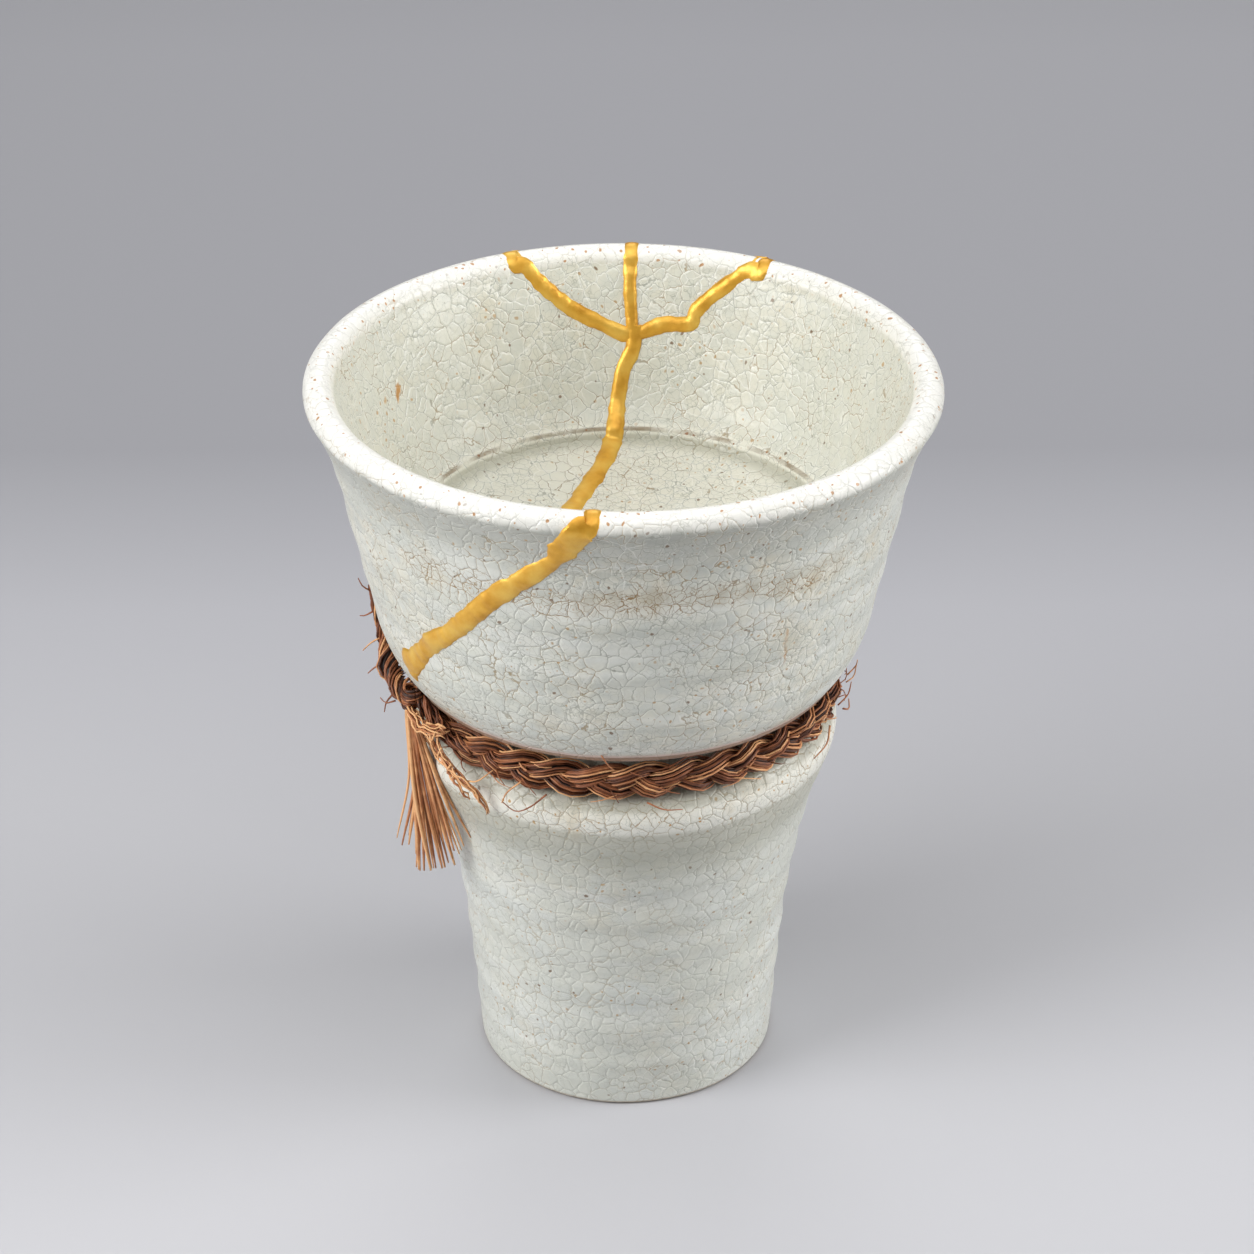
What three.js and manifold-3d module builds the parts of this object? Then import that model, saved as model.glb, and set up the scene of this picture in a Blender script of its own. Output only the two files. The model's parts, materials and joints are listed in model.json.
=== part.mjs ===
// A tall stoneware cup, mended with gold lacquer and tied round its waist with palm fibre rope.
//
// Millimetres, +Z up. The origin is the middle of the foot, on the surface that the cup stands on.
// A place round the cup is given as a turn in degrees: 0 is the front (-Y), 90 is the right (+X),
// -90 is the left and 180 is the back.

import * as THREE from 'three';
import { mergeVertices } from 'three/addons/utils/BufferGeometryUtils.js';
import Module from 'manifold-3d';

const wasm = await Module();
wasm.setup();

// The cup outside
const HEIGHT = 115;
const RIM_RADIUS = 46.4;
const RIM_ROLL_RADIUS = 2.25;
const LIP_RADIUS = 32.9;
const LIP_THICKNESS = 1;
const LIP_EDGE_DROP = 0.8;
const GROOVE_RADIUS = 28.6;
const GROOVE_HEADROOM = 1;
const SHOULDER_HEIGHT = 57.2;
const SHOULDER_RISE = 4.1;
const SHOULDER_RADIUS = 32.2;
const FOOT_RADIUS = 22.9;
const FOOT_EDGE_RADIUS = 0.9;

// The cup inside, with a ledge round a shallow dished floor, and the hollow under the high foot
const LEDGE_HEIGHT = 89.8;
const LEDGE_RADIUS = 31.4;
const LEDGE_STEP = 1.6;
const LEDGE_STEP_RUN = 1;
const FLOOR_DISH = 3.8;
const FLOOR_THICKNESS = 6;
const WALL_THICKNESS = 4.8;
const FOOT_RING_WIDTH = 4.6;

// The crack and the gold in it
const CRACK_WIDTH = 0.8;
const CRACK_CLEARANCE = 0.3;
const FLOOR_CRACK_DEPTH = 3.6;
const BEAD_HEIGHT = 0.45;
const BEAD_WIDTH_INSIDE = 2.8;
const BEAD_WIDTH_FLOOR = 3.3;
const BEAD_WIDTH_FRONT = 4.1;

// The rope, a plait of three strands, with its knot, tail and tassel at the left front. The knot's
// shape is given as shares of its width, and the tail's standoff as a share of its thickness.
const STRAND_DIAMETER = 2.3;
const PLAIT_WIDTH = 5.2;
const PLAIT_DEPTH = 4.2;
const PLAIT_REPEATS = 10;
const ROPE_CLEARANCE = 0.35;
const KNOT_TURN = -69;
const KNOT_WIDTH = 3.8;
const KNOT_PROUD = 1.2;
const KNOT_SHAPE = [0.8, 1, 0.9];
const TAIL_LENGTH = 17;
const TAIL_DIAMETER = 3.4;
const TAIL_STANDOFF = 0.62;
const TASSEL_LENGTH = 28.5;
const TASSEL_SPREAD = 4.2;
const TASSEL_LEAN = 3;
const TASSEL_LOCKS = 12;
const TASSEL_RAGGEDNESS = 0.22;
const TASSEL_ROOT_SHARE = 0.2;
const LOCK_DIAMETER = 1.6;

// How finely round forms are divided
const CUP_SEGMENTS = 32;
const STRAND_STEPS = 24;
const STRAND_SIDES = 5;
const WALL_STEPS = 6;
const RIM_STEPS = 5;
const POTTERY_TOLERANCE = 0.06;
const ROPE_TOLERANCE = 0.2;
const SHARPEST_CORNER = 0.6;

const glaze = {
  name: 'crackled celadon glaze', color: 0xc9ccc4, roughness: 0.35, metalness: 0,
};
const gold = { name: 'gold lacquer', color: 0xd7a23a, roughness: 0.32, metalness: 0.85 };
const palmFibre = { name: 'palm fibre', color: 0x8a5636, roughness: 0.85, metalness: 0 };

// Solids and meshes

function toSolid(geometry) {
  const bare = geometry.clone();
  bare.deleteAttribute('normal');
  bare.deleteAttribute('uv');
  const merged = mergeVertices(bare);
  const corners = Array.from(merged.index.array);
  const triangles = [];
  for (let i = 0; i < corners.length; i += 3) {
    const [a, b, c] = corners.slice(i, i + 3);
    if (a !== b && b !== c && c !== a) {
      triangles.push(a, b, c);
    }
  }
  return new wasm.Manifold(new wasm.Mesh({
    numProp: 3,
    vertProperties: new Float32Array(merged.attributes.position.array),
    triVerts: new Uint32Array(triangles),
  }));
}

function joined(solids) {
  return solids.reduce((whole, next) => whole.add(next));
}

function toMesh(name, solid, look, tolerance) {
  const { vertProperties, triVerts } = solid.asOriginal().simplify(tolerance).getMesh();
  const geometry = new THREE.BufferGeometry();
  geometry.setAttribute('position', new THREE.BufferAttribute(new Float32Array(vertProperties), 3));
  geometry.setIndex(Array.from(triVerts));
  geometry.computeVertexNormals();
  const mesh = new THREE.Mesh(geometry, new THREE.MeshStandardMaterial(look));
  mesh.name = name;
  return mesh;
}

function aroundCup(turn, radius, height) {
  const angle = THREE.MathUtils.degToRad(turn);
  return new THREE.Vector3(radius * Math.sin(angle), -radius * Math.cos(angle), height);
}

// The cup's outline, as points of radius and height, from the hollow of the foot round the
// outside, over the rim and down to the middle of the floor. The groove takes the rope.
const grooveBottom = SHOULDER_HEIGHT + SHOULDER_RISE;
const grooveTop = grooveBottom + PLAIT_WIDTH + 2 * ROPE_CLEARANCE + GROOVE_HEADROOM;
const lipHeight = grooveTop + LIP_THICKNESS;

// Lower wall from the foot to the shoulder: shares of its height and of its flare
const LOWER_WALL_SHAPE = [
  [0, 0], [0.15, 0.065], [0.31, 0.15], [0.47, 0.24], [0.64, 0.41], [0.76, 0.56], [0.88, 0.77],
  [0.96, 0.95], [1, 1],
];
// Upper wall from the lip to the roll of the rim: shares of its height and of its flare
const UPPER_WALL_SHAPE = [
  [0, 0], [0.06, 0.14], [0.154, 0.273], [0.365, 0.424], [0.577, 0.572], [0.788, 0.718],
  [0.93, 0.885], [1, 1],
];
// Bowl of the cup from the ledge to the roll of the rim: shares of its height and of its flare
const BOWL_SHAPE = [
  [0, 0], [0.03, 0.08], [0.13, 0.27], [0.35, 0.48], [0.6, 0.67], [0.85, 0.86], [1, 1],
];

function splineOutline(shape, [startRadius, startHeight], [endRadius, endHeight], steps) {
  const stations = shape.map(([rise, flare]) => new THREE.Vector2(
    THREE.MathUtils.lerp(startRadius, endRadius, flare),
    THREE.MathUtils.lerp(startHeight, endHeight, rise),
  ));
  return new THREE.SplineCurve(stations).getPoints(steps);
}

const rollHeight = HEIGHT - RIM_ROLL_RADIUS;
const rollCentreRadius = RIM_RADIUS - RIM_ROLL_RADIUS;
const lowerWall = splineOutline(
  LOWER_WALL_SHAPE,
  [FOOT_RADIUS, FOOT_EDGE_RADIUS],
  [SHOULDER_RADIUS, SHOULDER_HEIGHT],
  WALL_STEPS,
);
const upperWall = splineOutline(
  UPPER_WALL_SHAPE,
  [LIP_RADIUS, lipHeight],
  [RIM_RADIUS, rollHeight],
  WALL_STEPS,
);

function wallRadiusAt(height) {
  const above = upperWall.findIndex((point) => point.y > height);
  const next = upperWall[Math.max(above, 1)];
  const last = upperWall[Math.max(above, 1) - 1];
  const share = (height - last.y) / (next.y - last.y);
  return THREE.MathUtils.lerp(last.x, next.x, Math.max(share, 0));
}

function footHollow() {
  const ringRadius = FOOT_RADIUS - FOOT_RING_WIDTH;
  const waistRadius = GROOVE_RADIUS - WALL_THICKNESS;
  const ceiling = LEDGE_HEIGHT - LEDGE_STEP - FLOOR_DISH - FLOOR_THICKNESS;
  const hollowWall = lowerWall
    .filter((point) => point.y > FOOT_EDGE_RADIUS && point.y < SHOULDER_HEIGHT)
    .map((point) => new THREE.Vector2(
      Math.min(Math.max(point.x - WALL_THICKNESS, ringRadius), waistRadius + WALL_THICKNESS / 2),
      point.y,
    ))
    .reverse();
  return [
    new THREE.Vector2(0, ceiling),
    new THREE.Vector2(waistRadius - 2 * WALL_THICKNESS, ceiling),
    new THREE.Vector2(waistRadius - WALL_THICKNESS / 2, ceiling - WALL_THICKNESS / 3),
    new THREE.Vector2(waistRadius, ceiling - WALL_THICKNESS),
    new THREE.Vector2(waistRadius, grooveBottom),
    ...hollowWall,
    new THREE.Vector2(ringRadius, 0),
  ];
}

function foot() {
  const edge = new THREE.EllipseCurve(
    FOOT_RADIUS - FOOT_EDGE_RADIUS, FOOT_EDGE_RADIUS,
    FOOT_EDGE_RADIUS, FOOT_EDGE_RADIUS,
    -Math.PI / 2, 0,
  );
  return edge.getPoints(3).slice(0, -1);
}

function waist() {
  const shoulder = new THREE.EllipseCurve(
    GROOVE_RADIUS, SHOULDER_HEIGHT,
    SHOULDER_RADIUS - GROOVE_RADIUS, grooveBottom - SHOULDER_HEIGHT,
    0, Math.PI / 2,
  );
  return [
    ...shoulder.getPoints(3).slice(1),
    new THREE.Vector2(GROOVE_RADIUS, grooveTop),
    new THREE.Vector2(LIP_RADIUS - LIP_EDGE_DROP, lipHeight - LIP_EDGE_DROP),
  ];
}

function rim() {
  const roll = new THREE.EllipseCurve(
    rollCentreRadius, rollHeight, RIM_ROLL_RADIUS, RIM_ROLL_RADIUS, 0, Math.PI,
  );
  return roll.getPoints(RIM_STEPS).slice(1, -1);
}

function bowl() {
  const floorEdgeRadius = LEDGE_RADIUS - LEDGE_STEP_RUN;
  const floorEdge = LEDGE_HEIGHT - LEDGE_STEP;
  const bowlWall = splineOutline(
    BOWL_SHAPE,
    [LEDGE_RADIUS, LEDGE_HEIGHT],
    [rollCentreRadius - RIM_ROLL_RADIUS, rollHeight],
    WALL_STEPS,
  );
  const dish = [1, 0.75, 0.45, 0].map((share) => new THREE.Vector2(
    floorEdgeRadius * share,
    floorEdge - FLOOR_DISH * (1 - share * share),
  ));
  return [...bowlWall.reverse(), ...dish];
}

const cupOutline = [
  ...footHollow(), ...foot(), ...lowerWall, ...waist(), ...upperWall, ...rim(), ...bowl(),
];

// The same outline moved out by a distance, or in where the distance is below zero
function offsetOutline(outline, distance) {
  return outline.map((point, i) => {
    const before = outline[i - 1];
    const after = outline[i + 1];
    if (!before || !after) {
      const side = Math.sign(i - 1);
      return new THREE.Vector2(0, point.y + side * distance);
    }
    const normals = [[before, point], [point, after]].map(([from, to]) => (
      new THREE.Vector2(to.y - from.y, from.x - to.x).normalize()
    ));
    const middle = normals[0].clone().add(normals[1]).normalize();
    const reach = distance / Math.max(middle.dot(normals[0]), SHARPEST_CORNER);
    return point.clone().addScaledVector(middle, reach);
  });
}

function turned(outline) {
  return toSolid(new THREE.LatheGeometry(outline, CUP_SEGMENTS).rotateX(Math.PI / 2));
}

// The crack: how far round it runs, how high as a share of the wall from the lip to the rim, and
// the width of the gold there as a share of the bead's width
const FRONT_CRACK = [
  [-5.5, 1.12, 1.15], [-6.8, 0.97, 1.15], [-9.8, 0.89, 1], [-12.4, 0.825, 0.8], [-18.5, 0.735, 0.85],
  [-26.5, 0.62, 0.82], [-36.3, 0.46, 0.78], [-46, 0.335, 0.75], [-53.5, 0.22, 0.7], [-57.5, 0.115, 0.2],
];
const LEFT_CRACK = [
  [-157, 1.12, 1.15], [-159, 0.97, 1.1], [-162.5, 0.9, 1], [-167.8, 0.825, 1], [-175.5, 0.757, 1],
  [-182.5, 0.715, 1],
];
const MIDDLE_CRACK = [
  [178.2, 1.12, 0.95], [178.5, 0.93, 0.8], [178.2, 0.8, 0.75], [177.6, 0.7, 0.8],
];
const RIGHT_CRACK = [
  [150, 1.12, 1.1], [153, 0.97, 1], [157.6, 0.905, 0.95], [163.2, 0.82, 1], [164.6, 0.775, 1],
  [171, 0.76, 1], [177.6, 0.72, 1],
];
const BACK_CRACK = [
  [177.4, 0.76, 1], [177.6, 0.69, 1.05], [180, 0.61, 1], [181.4, 0.52, 1], [182.2, 0.44, 1.1],
  [184, 0.26, 1], [181, 0.1, 0.85], [182, -0.01, 0.7],
];
// Across the floor, as shares of the ledge's radius towards +X and +Y
const FLOOR_CRACK = [
  [-0.04, 1.06], [-0.05, 0.98], [-0.1, 0.78], [-0.19, 0.55], [-0.29, 0.3], [-0.38, 0.06],
  [-0.46, -0.22], [-0.54, -0.5], [-0.6, -0.78], [-0.63, -0.86],
];

function strip(stations, width, extraWidth) {
  const places = stations.map(([x, y]) => new THREE.Vector2(x, y));
  const sides = places.map((place, i) => {
    const before = places[Math.max(i - 1, 0)];
    const after = places[Math.min(i + 1, places.length - 1)];
    const along = after.clone().sub(before).normalize();
    const share = stations[i][2];
    return new THREE.Vector2(-along.y, along.x).multiplyScalar(width * share / 2 + extraWidth);
  });
  const leftSide = places.map((place, i) => place.clone().add(sides[i]));
  const rightSide = places.map((place, i) => place.clone().sub(sides[i]));
  return new THREE.Shape([...rightSide, ...leftSide.reverse()]);
}

// A slab that follows a crack through the wall: the strip is laid on the unrolled wall, given its
// depth and rolled up round the cup
function wallSlab(crack, width, extraWidth = 0) {
  const innerRadius = LEDGE_RADIUS - LEDGE_STEP_RUN;
  const outerRadius = Math.max(RIM_RADIUS, LIP_RADIUS, LEDGE_RADIUS) + WALL_THICKNESS;
  const rollRadius = (innerRadius + outerRadius) / 2;
  const stations = crack.map(([turn, rise, share]) => [
    THREE.MathUtils.degToRad(turn) * rollRadius,
    THREE.MathUtils.lerp(lipHeight, HEIGHT, rise),
    share,
  ]);
  const slab = new THREE.ExtrudeGeometry(strip(stations, width, extraWidth), {
    depth: outerRadius - innerRadius, steps: 1, bevelEnabled: false,
  });
  const corners = slab.attributes.position;
  for (let i = 0; i < corners.count; i += 1) {
    const turn = THREE.MathUtils.radToDeg(corners.getX(i) / rollRadius);
    const place = aroundCup(turn, innerRadius + corners.getZ(i), corners.getY(i));
    corners.setXYZ(i, place.x, place.y, place.z);
  }
  return toSolid(slab);
}

function floorSlab(width, extraWidth = 0) {
  const bottom = LEDGE_HEIGHT - LEDGE_STEP - FLOOR_DISH - FLOOR_CRACK_DEPTH;
  const top = LEDGE_HEIGHT + WALL_THICKNESS;
  const stations = FLOOR_CRACK.map(([x, y]) => [x * LEDGE_RADIUS, y * LEDGE_RADIUS, 1]);
  const slab = new THREE.ExtrudeGeometry(strip(stations, width, extraWidth), {
    depth: top - bottom, steps: 1, bevelEnabled: false,
  });
  return toSolid(slab.translate(0, 0, bottom));
}

const wallCracks = [FRONT_CRACK, LEFT_CRACK, MIDDLE_CRACK, RIGHT_CRACK, BACK_CRACK];
const evenly = (crack) => crack.map(([turn, rise]) => [turn, rise, 1]);

function crackSlabs(extraWidth) {
  return joined([
    ...wallCracks.map((crack) => wallSlab(evenly(crack), CRACK_WIDTH, extraWidth)),
    floorSlab(CRACK_WIDTH, extraWidth),
  ]);
}

function beadSlabs(extraWidth) {
  const insideCracks = [LEFT_CRACK, MIDDLE_CRACK, RIGHT_CRACK, BACK_CRACK];
  return joined([
    wallSlab(FRONT_CRACK, BEAD_WIDTH_FRONT, extraWidth),
    ...insideCracks.map((crack) => wallSlab(crack, BEAD_WIDTH_INSIDE, extraWidth)),
    floorSlab(BEAD_WIDTH_FLOOR, extraWidth),
  ]);
}

// The cup with its crack open, and a shallow seat in the glaze under each bead of gold
const wholeCup = turned(cupOutline);
const cupUnderBead = turned(offsetOutline(cupOutline, -CRACK_CLEARANCE));
const cupOverBead = turned(offsetOutline(cupOutline, BEAD_HEIGHT));
const beadSeats = beadSlabs(CRACK_CLEARANCE).subtract(cupUnderBead);
const pottery = wholeCup.subtract(crackSlabs(CRACK_CLEARANCE)).subtract(beadSeats);

const [cupBody, ...shards] = pottery.decompose().sort((a, b) => b.volume() - a.volume());
const middleOf = (solid) => (solid.boundingBox().min[0] + solid.boundingBox().max[0]) / 2;
const [leftShard, rightShard] = shards.slice(0, 2).sort((a, b) => middleOf(a) - middleOf(b));

const beads = beadSlabs(0).intersect(cupOverBead.subtract(wholeCup));
const joint = crackSlabs(0).intersect(cupOverBead);
const goldPieces = beads.add(joint).decompose().sort((a, b) => b.volume() - a.volume());

// The rope

const strandRadius = STRAND_DIAMETER / 2;
const ropeRadius = GROOVE_RADIUS + ROPE_CLEARANCE + PLAIT_DEPTH / 2;
const ropeHeight = grooveBottom + ROPE_CLEARANCE + PLAIT_WIDTH / 2;

// A strand crosses from side to side of the plait once in each repeat, and dives under the next
// strand twice
function strandPoint(turn, start) {
  const along = THREE.MathUtils.degToRad(turn) * PLAIT_REPEATS + start;
  const sideways = (PLAIT_WIDTH / 2 - strandRadius) * Math.sin(along);
  const inOrOut = (PLAIT_DEPTH / 2 - strandRadius) * Math.sin(2 * along);
  return aroundCup(turn, ropeRadius + inOrOut, ropeHeight + sideways);
}

function strandHalf(start, firstTurn) {
  const overlap = 2;
  const turns = Array.from(
    { length: STRAND_STEPS + 1 },
    (_, i) => firstTurn + (180 + overlap) * (i / STRAND_STEPS),
  );
  const route = new THREE.CatmullRomCurve3(turns.map((turn) => strandPoint(turn, start)));
  const corners = Array.from({ length: STRAND_SIDES }, (_, i) => {
    const angle = (2 * Math.PI * i) / STRAND_SIDES;
    return new THREE.Vector2(strandRadius * Math.cos(angle), strandRadius * Math.sin(angle));
  });
  return toSolid(new THREE.ExtrudeGeometry(new THREE.Shape(corners), {
    steps: STRAND_STEPS, extrudePath: route, bevelEnabled: false,
  }));
}

function plait() {
  const starts = [0, 1, 2].map((strand) => (2 * Math.PI * strand) / 3);
  return joined(starts.flatMap((start) => [
    strandHalf(start, KNOT_TURN), strandHalf(start, KNOT_TURN + 180),
  ]));
}

// A tapered lock of fibre along a curve. Its thickness is given at even stations from root to end.
function lock(curve, thicknesses, sides) {
  const outline = [
    new THREE.Vector2(0, 0),
    ...thicknesses.map((thickness, i) => (
      new THREE.Vector2(thickness / 2, i / (thicknesses.length - 1))
    )),
    new THREE.Vector2(0, 1),
  ];
  const body = new THREE.LatheGeometry(outline, sides);
  const { tangents, normals, binormals } = curve.computeFrenetFrames(thicknesses.length - 1);
  const corners = body.attributes.position;
  for (let i = 0; i < corners.count; i += 1) {
    const share = corners.getY(i);
    const frame = Math.round(share * (tangents.length - 1));
    const place = curve.getPointAt(share)
      .addScaledVector(normals[frame], corners.getZ(i))
      .addScaledVector(binormals[frame], corners.getX(i));
    corners.setXYZ(i, place.x, place.y, place.z);
  }
  return toSolid(body);
}

const knotRadius = KNOT_WIDTH / 2;
const knotReach = Math.max(LIP_RADIUS, SHOULDER_RADIUS) + KNOT_PROUD;
const knotHeight = lipHeight - LIP_EDGE_DROP - ROPE_CLEARANCE - knotRadius;
const knotCentre = aroundCup(KNOT_TURN, knotReach, knotHeight);

function knot() {
  const lump = new THREE.SphereGeometry(knotRadius, 8, 5)
    .scale(...KNOT_SHAPE)
    .rotateZ(THREE.MathUtils.degToRad(KNOT_TURN))
    .translate(knotCentre.x, knotCentre.y, knotCentre.z);
  const root = new THREE.LineCurve3(aroundCup(KNOT_TURN, ropeRadius, ropeHeight), knotCentre);
  return joined([toSolid(lump), lock(root, [STRAND_DIAMETER, STRAND_DIAMETER * 1.4], 6)]);
}

// The tail climbs the wall from the knot and thins out to a wisp
function tail() {
  const thicknesses = [0.8, 1, 0.72, 0.95, 0.5, 0.35, 0.15].map((share) => share * TAIL_DIAMETER);
  const turns = [0, -6, -10, -12.5, -14, -14.5, -14];
  const places = thicknesses.map((thickness, i) => {
    const height = knotCentre.z + TAIL_LENGTH * (i / (thicknesses.length - 1));
    const standoff = ROPE_CLEARANCE + thickness * TAIL_STANDOFF;
    const clear = wallRadiusAt(height + thickness / 2) + standoff;
    return aroundCup(KNOT_TURN + turns[i], Math.max(clear, knotReach), height);
  });
  return lock(new THREE.CatmullRomCurve3(places), thicknesses, 6);
}

// The tassel hangs from the knot. Its locks fan out from the root by the golden angle, and end at
// different heights.
function tassel() {
  const goldenAngle = Math.PI * (3 - Math.sqrt(5));
  const out = aroundCup(KNOT_TURN, 1, 0);
  const top = knotCentre.clone().addScaledVector(out, LOCK_DIAMETER / 2);
  const locks = Array.from({ length: TASSEL_LOCKS }, (_, i) => {
    const spread = TASSEL_SPREAD * Math.sqrt((i + 0.5) / TASSEL_LOCKS);
    const angle = i * goldenAngle;
    const length = TASSEL_LENGTH * (1 - TASSEL_RAGGEDNESS * Math.abs(Math.sin(angle)));
    const fan = new THREE.Vector3(Math.cos(angle), Math.sin(angle), 0).multiplyScalar(spread);
    const root = top.clone().addScaledVector(fan, TASSEL_ROOT_SHARE);
    const end = top.clone().add(fan).addScaledVector(out, -TASSEL_LEAN);
    end.z -= length;
    const middle = new THREE.Vector3(root.x, root.y, (root.z + end.z) / 2);
    const curve = new THREE.QuadraticBezierCurve3(root, middle, end);
    return lock(curve, [1, 0.95, 0.35].map((share) => share * LOCK_DIAMETER), 4);
  });
  return joined(locks);
}

const rope = joined([plait(), knot(), tail(), tassel()]);

const cup = new THREE.Group();
cup.add(
  toMesh('cup_body', cupBody, glaze, POTTERY_TOLERANCE),
  toMesh('rim_shard_left', leftShard, glaze, POTTERY_TOLERANCE),
  toMesh('rim_shard_right', rightShard, glaze, POTTERY_TOLERANCE),
  toMesh('gold_seam', goldPieces[0], gold, POTTERY_TOLERANCE),
  toMesh('palm_rope', rope, palmFibre, ROPE_TOLERANCE),
);

export default cup;
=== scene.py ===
# %% [markdown]
# # A mended stoneware cup, tied with palm fibre rope
#
# The object is a tall waisted cup, thrown on a wheel and glazed in a pale crackled celadon. It has
# been broken and mended with raised gold lacquer, and a plaited rope of palm fibre is tied round
# its waist. This lesson dresses the plain model of the cup: each piece is made again with its fine
# form, and each material is built from what the real one is.

# %% Load the frame
import json
import math
import random

import bmesh
import bpy
import numpy as np
from mathutils import Matrix, Vector, noise

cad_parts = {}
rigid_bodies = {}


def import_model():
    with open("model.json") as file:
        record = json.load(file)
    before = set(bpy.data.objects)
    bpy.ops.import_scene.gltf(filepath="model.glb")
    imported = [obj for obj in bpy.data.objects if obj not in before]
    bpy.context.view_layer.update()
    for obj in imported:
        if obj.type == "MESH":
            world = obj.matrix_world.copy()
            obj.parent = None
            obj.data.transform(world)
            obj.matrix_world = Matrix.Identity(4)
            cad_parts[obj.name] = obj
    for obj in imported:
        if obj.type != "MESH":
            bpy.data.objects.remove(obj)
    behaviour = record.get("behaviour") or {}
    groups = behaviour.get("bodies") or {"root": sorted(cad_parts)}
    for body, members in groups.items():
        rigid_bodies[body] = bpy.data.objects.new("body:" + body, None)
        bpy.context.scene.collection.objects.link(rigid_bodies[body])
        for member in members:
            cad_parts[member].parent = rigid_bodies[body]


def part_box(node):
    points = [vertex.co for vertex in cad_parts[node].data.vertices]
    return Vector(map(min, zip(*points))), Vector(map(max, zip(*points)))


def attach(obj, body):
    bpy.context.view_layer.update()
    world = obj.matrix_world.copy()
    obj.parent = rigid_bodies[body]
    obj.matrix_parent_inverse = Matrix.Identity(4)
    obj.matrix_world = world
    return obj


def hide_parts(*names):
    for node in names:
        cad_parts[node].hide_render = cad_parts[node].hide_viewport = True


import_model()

MM = 0.001
TO_METRES = Matrix.Scale(MM, 4)
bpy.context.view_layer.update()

# %% [markdown]
# ## The camera
#
# The cup is seen from the front and from above, so that its floor shows, through a long lens that
# keeps the sides nearly upright. A camera could be aimed with a constraint, but the export and the
# other views want it free, so its place and its three turns are written out.

# %% Camera
CAMERA_PLACE = Vector((0, -464.6, 339.2))
CAMERA_PITCH_DOWN = 29.915
CAMERA_YAW = 0.0495
CAMERA_ROLL = -0.221
LENS = 102.7
SENSOR = 36

camera = bpy.data.objects.new("camera", bpy.data.cameras.new("camera"))
camera.data.lens = LENS
camera.data.sensor_width = SENSOR
camera.data.clip_start = 0.05
camera.matrix_world = (
    Matrix.Translation(CAMERA_PLACE * MM)
    @ Matrix.Rotation(-math.radians(CAMERA_YAW), 4, "Z")
    @ Matrix.Rotation(math.radians(90 - CAMERA_PITCH_DOWN), 4, "X")
    @ Matrix.Rotation(math.radians(CAMERA_ROLL), 4, "Z")
)
bpy.context.scene.collection.objects.link(camera)
bpy.context.scene.camera = camera
bpy.context.scene.view_settings.view_transform = "Standard"
print("camera", [round(place) for place in CAMERA_PLACE], "mm")

# %% [markdown]
# ## Colours and nodes
#
# Colours are given as sRGB hex values, but shaders work in linear light, so one function
# turns one into the other. A second small function adds a node with its settings and its links, and
# gives back the output that is wanted. A pattern's scale is the number of cells in a metre, worked
# out from the cell's real size.

# %% Helpers for materials
def hex_colour(code):
    """An sRGB hex colour as linear red, green, blue and alpha."""
    shares = [int(code[i:i + 2], 16) / 255 for i in (1, 3, 5)]
    linear = [s / 12.92 if s <= 0.04045 else ((s + 0.055) / 1.055) ** 2.4 for s in shares]
    return (*linear, 1)


def new_material(name):
    """A material, and its Principled shader."""
    material = bpy.data.materials.new(name)
    material.use_nodes = True
    return material, material.node_tree.nodes["Principled BSDF"]


def fill(node, inputs):
    """Sets a node's inputs. A socket among the values is linked instead."""
    for name, value in inputs.items():
        if isinstance(value, bpy.types.NodeSocket):
            node.id_data.links.new(value, node.inputs[name])
        else:
            node.inputs[name].default_value = value


def add_node(material, kind, inputs, wanted, **settings):
    """Adds a node with its settings and inputs, and gives back the wanted output."""
    node = material.node_tree.nodes.new(kind)
    for name, value in settings.items():
        setattr(node, name, value)
    fill(node, inputs)
    return node.outputs[wanted]


def set_ramp(output, tones):
    """Gives the colour ramp that this output belongs to its tones: places from 0 to 1, and colours."""
    ramp = output.node.color_ramp
    ramp.elements.remove(ramp.elements[1])
    ramp.elements[0].position, ramp.elements[0].color = tones[0][0], hex_colour(tones[0][1])
    for position, code in tones[1:]:
        ramp.elements.new(position).color = hex_colour(code)


def cells_of(size):
    """The scale of a pattern whose cells are this many millimetres across."""
    return 1 / (size * MM)


# %% [markdown]
# ## The floor and the light
#
# The cup stands on plain pale paper. Its colour is graded to a darker grey behind it and a little
# lighter again far back: painted shade for the light that falls off away from the lamps. A large
# soft light hangs above, with a small one nearer and one behind that glances off the rim and the
# gold. There is a high and a low one on each side: the low ones light the walls and hardly touch
# the floor. Wide lights close to a small object give the broad, faint highlights and the soft pool
# of shade that glazed pottery has in a studio.

# %% Floor
FLOOR_RADIUS = 3
GRADED_FROM, GRADED_TO = -50, 430
# How far back each tone of the paper's painted falloff lies, as a share of the graded part
PAPER_FALLOFF_TONES = [(0, "#c1c1c5"), (0.24, "#b8b8bc"), (0.38, "#b2b2b7"), (0.52, "#9f9fa4"), (1, "#b0b0b5")]

# Painted shade: the paper darkens towards the back, where less light falls, and lightens a little again
# far back
paper, paper_shader = new_material("backdrop paper with painted falloff")
paper_place = add_node(paper, "ShaderNodeTexCoord", {}, "Object")
paper_back = add_node(paper, "ShaderNodeSeparateXYZ", {"Vector": paper_place}, "Y")
paper_grade = add_node(paper, "ShaderNodeMapRange", {
    "Value": paper_back, "From Min": GRADED_FROM * MM, "From Max": GRADED_TO * MM,
}, "Result")
paper_falloff = add_node(paper, "ShaderNodeValToRGB", {"Fac": paper_grade}, "Color")
set_ramp(paper_falloff, PAPER_FALLOFF_TONES)
fill(paper_shader, {"Base Color": paper_falloff, "Roughness": 0.7, "Specular IOR Level": 0.2})

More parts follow.
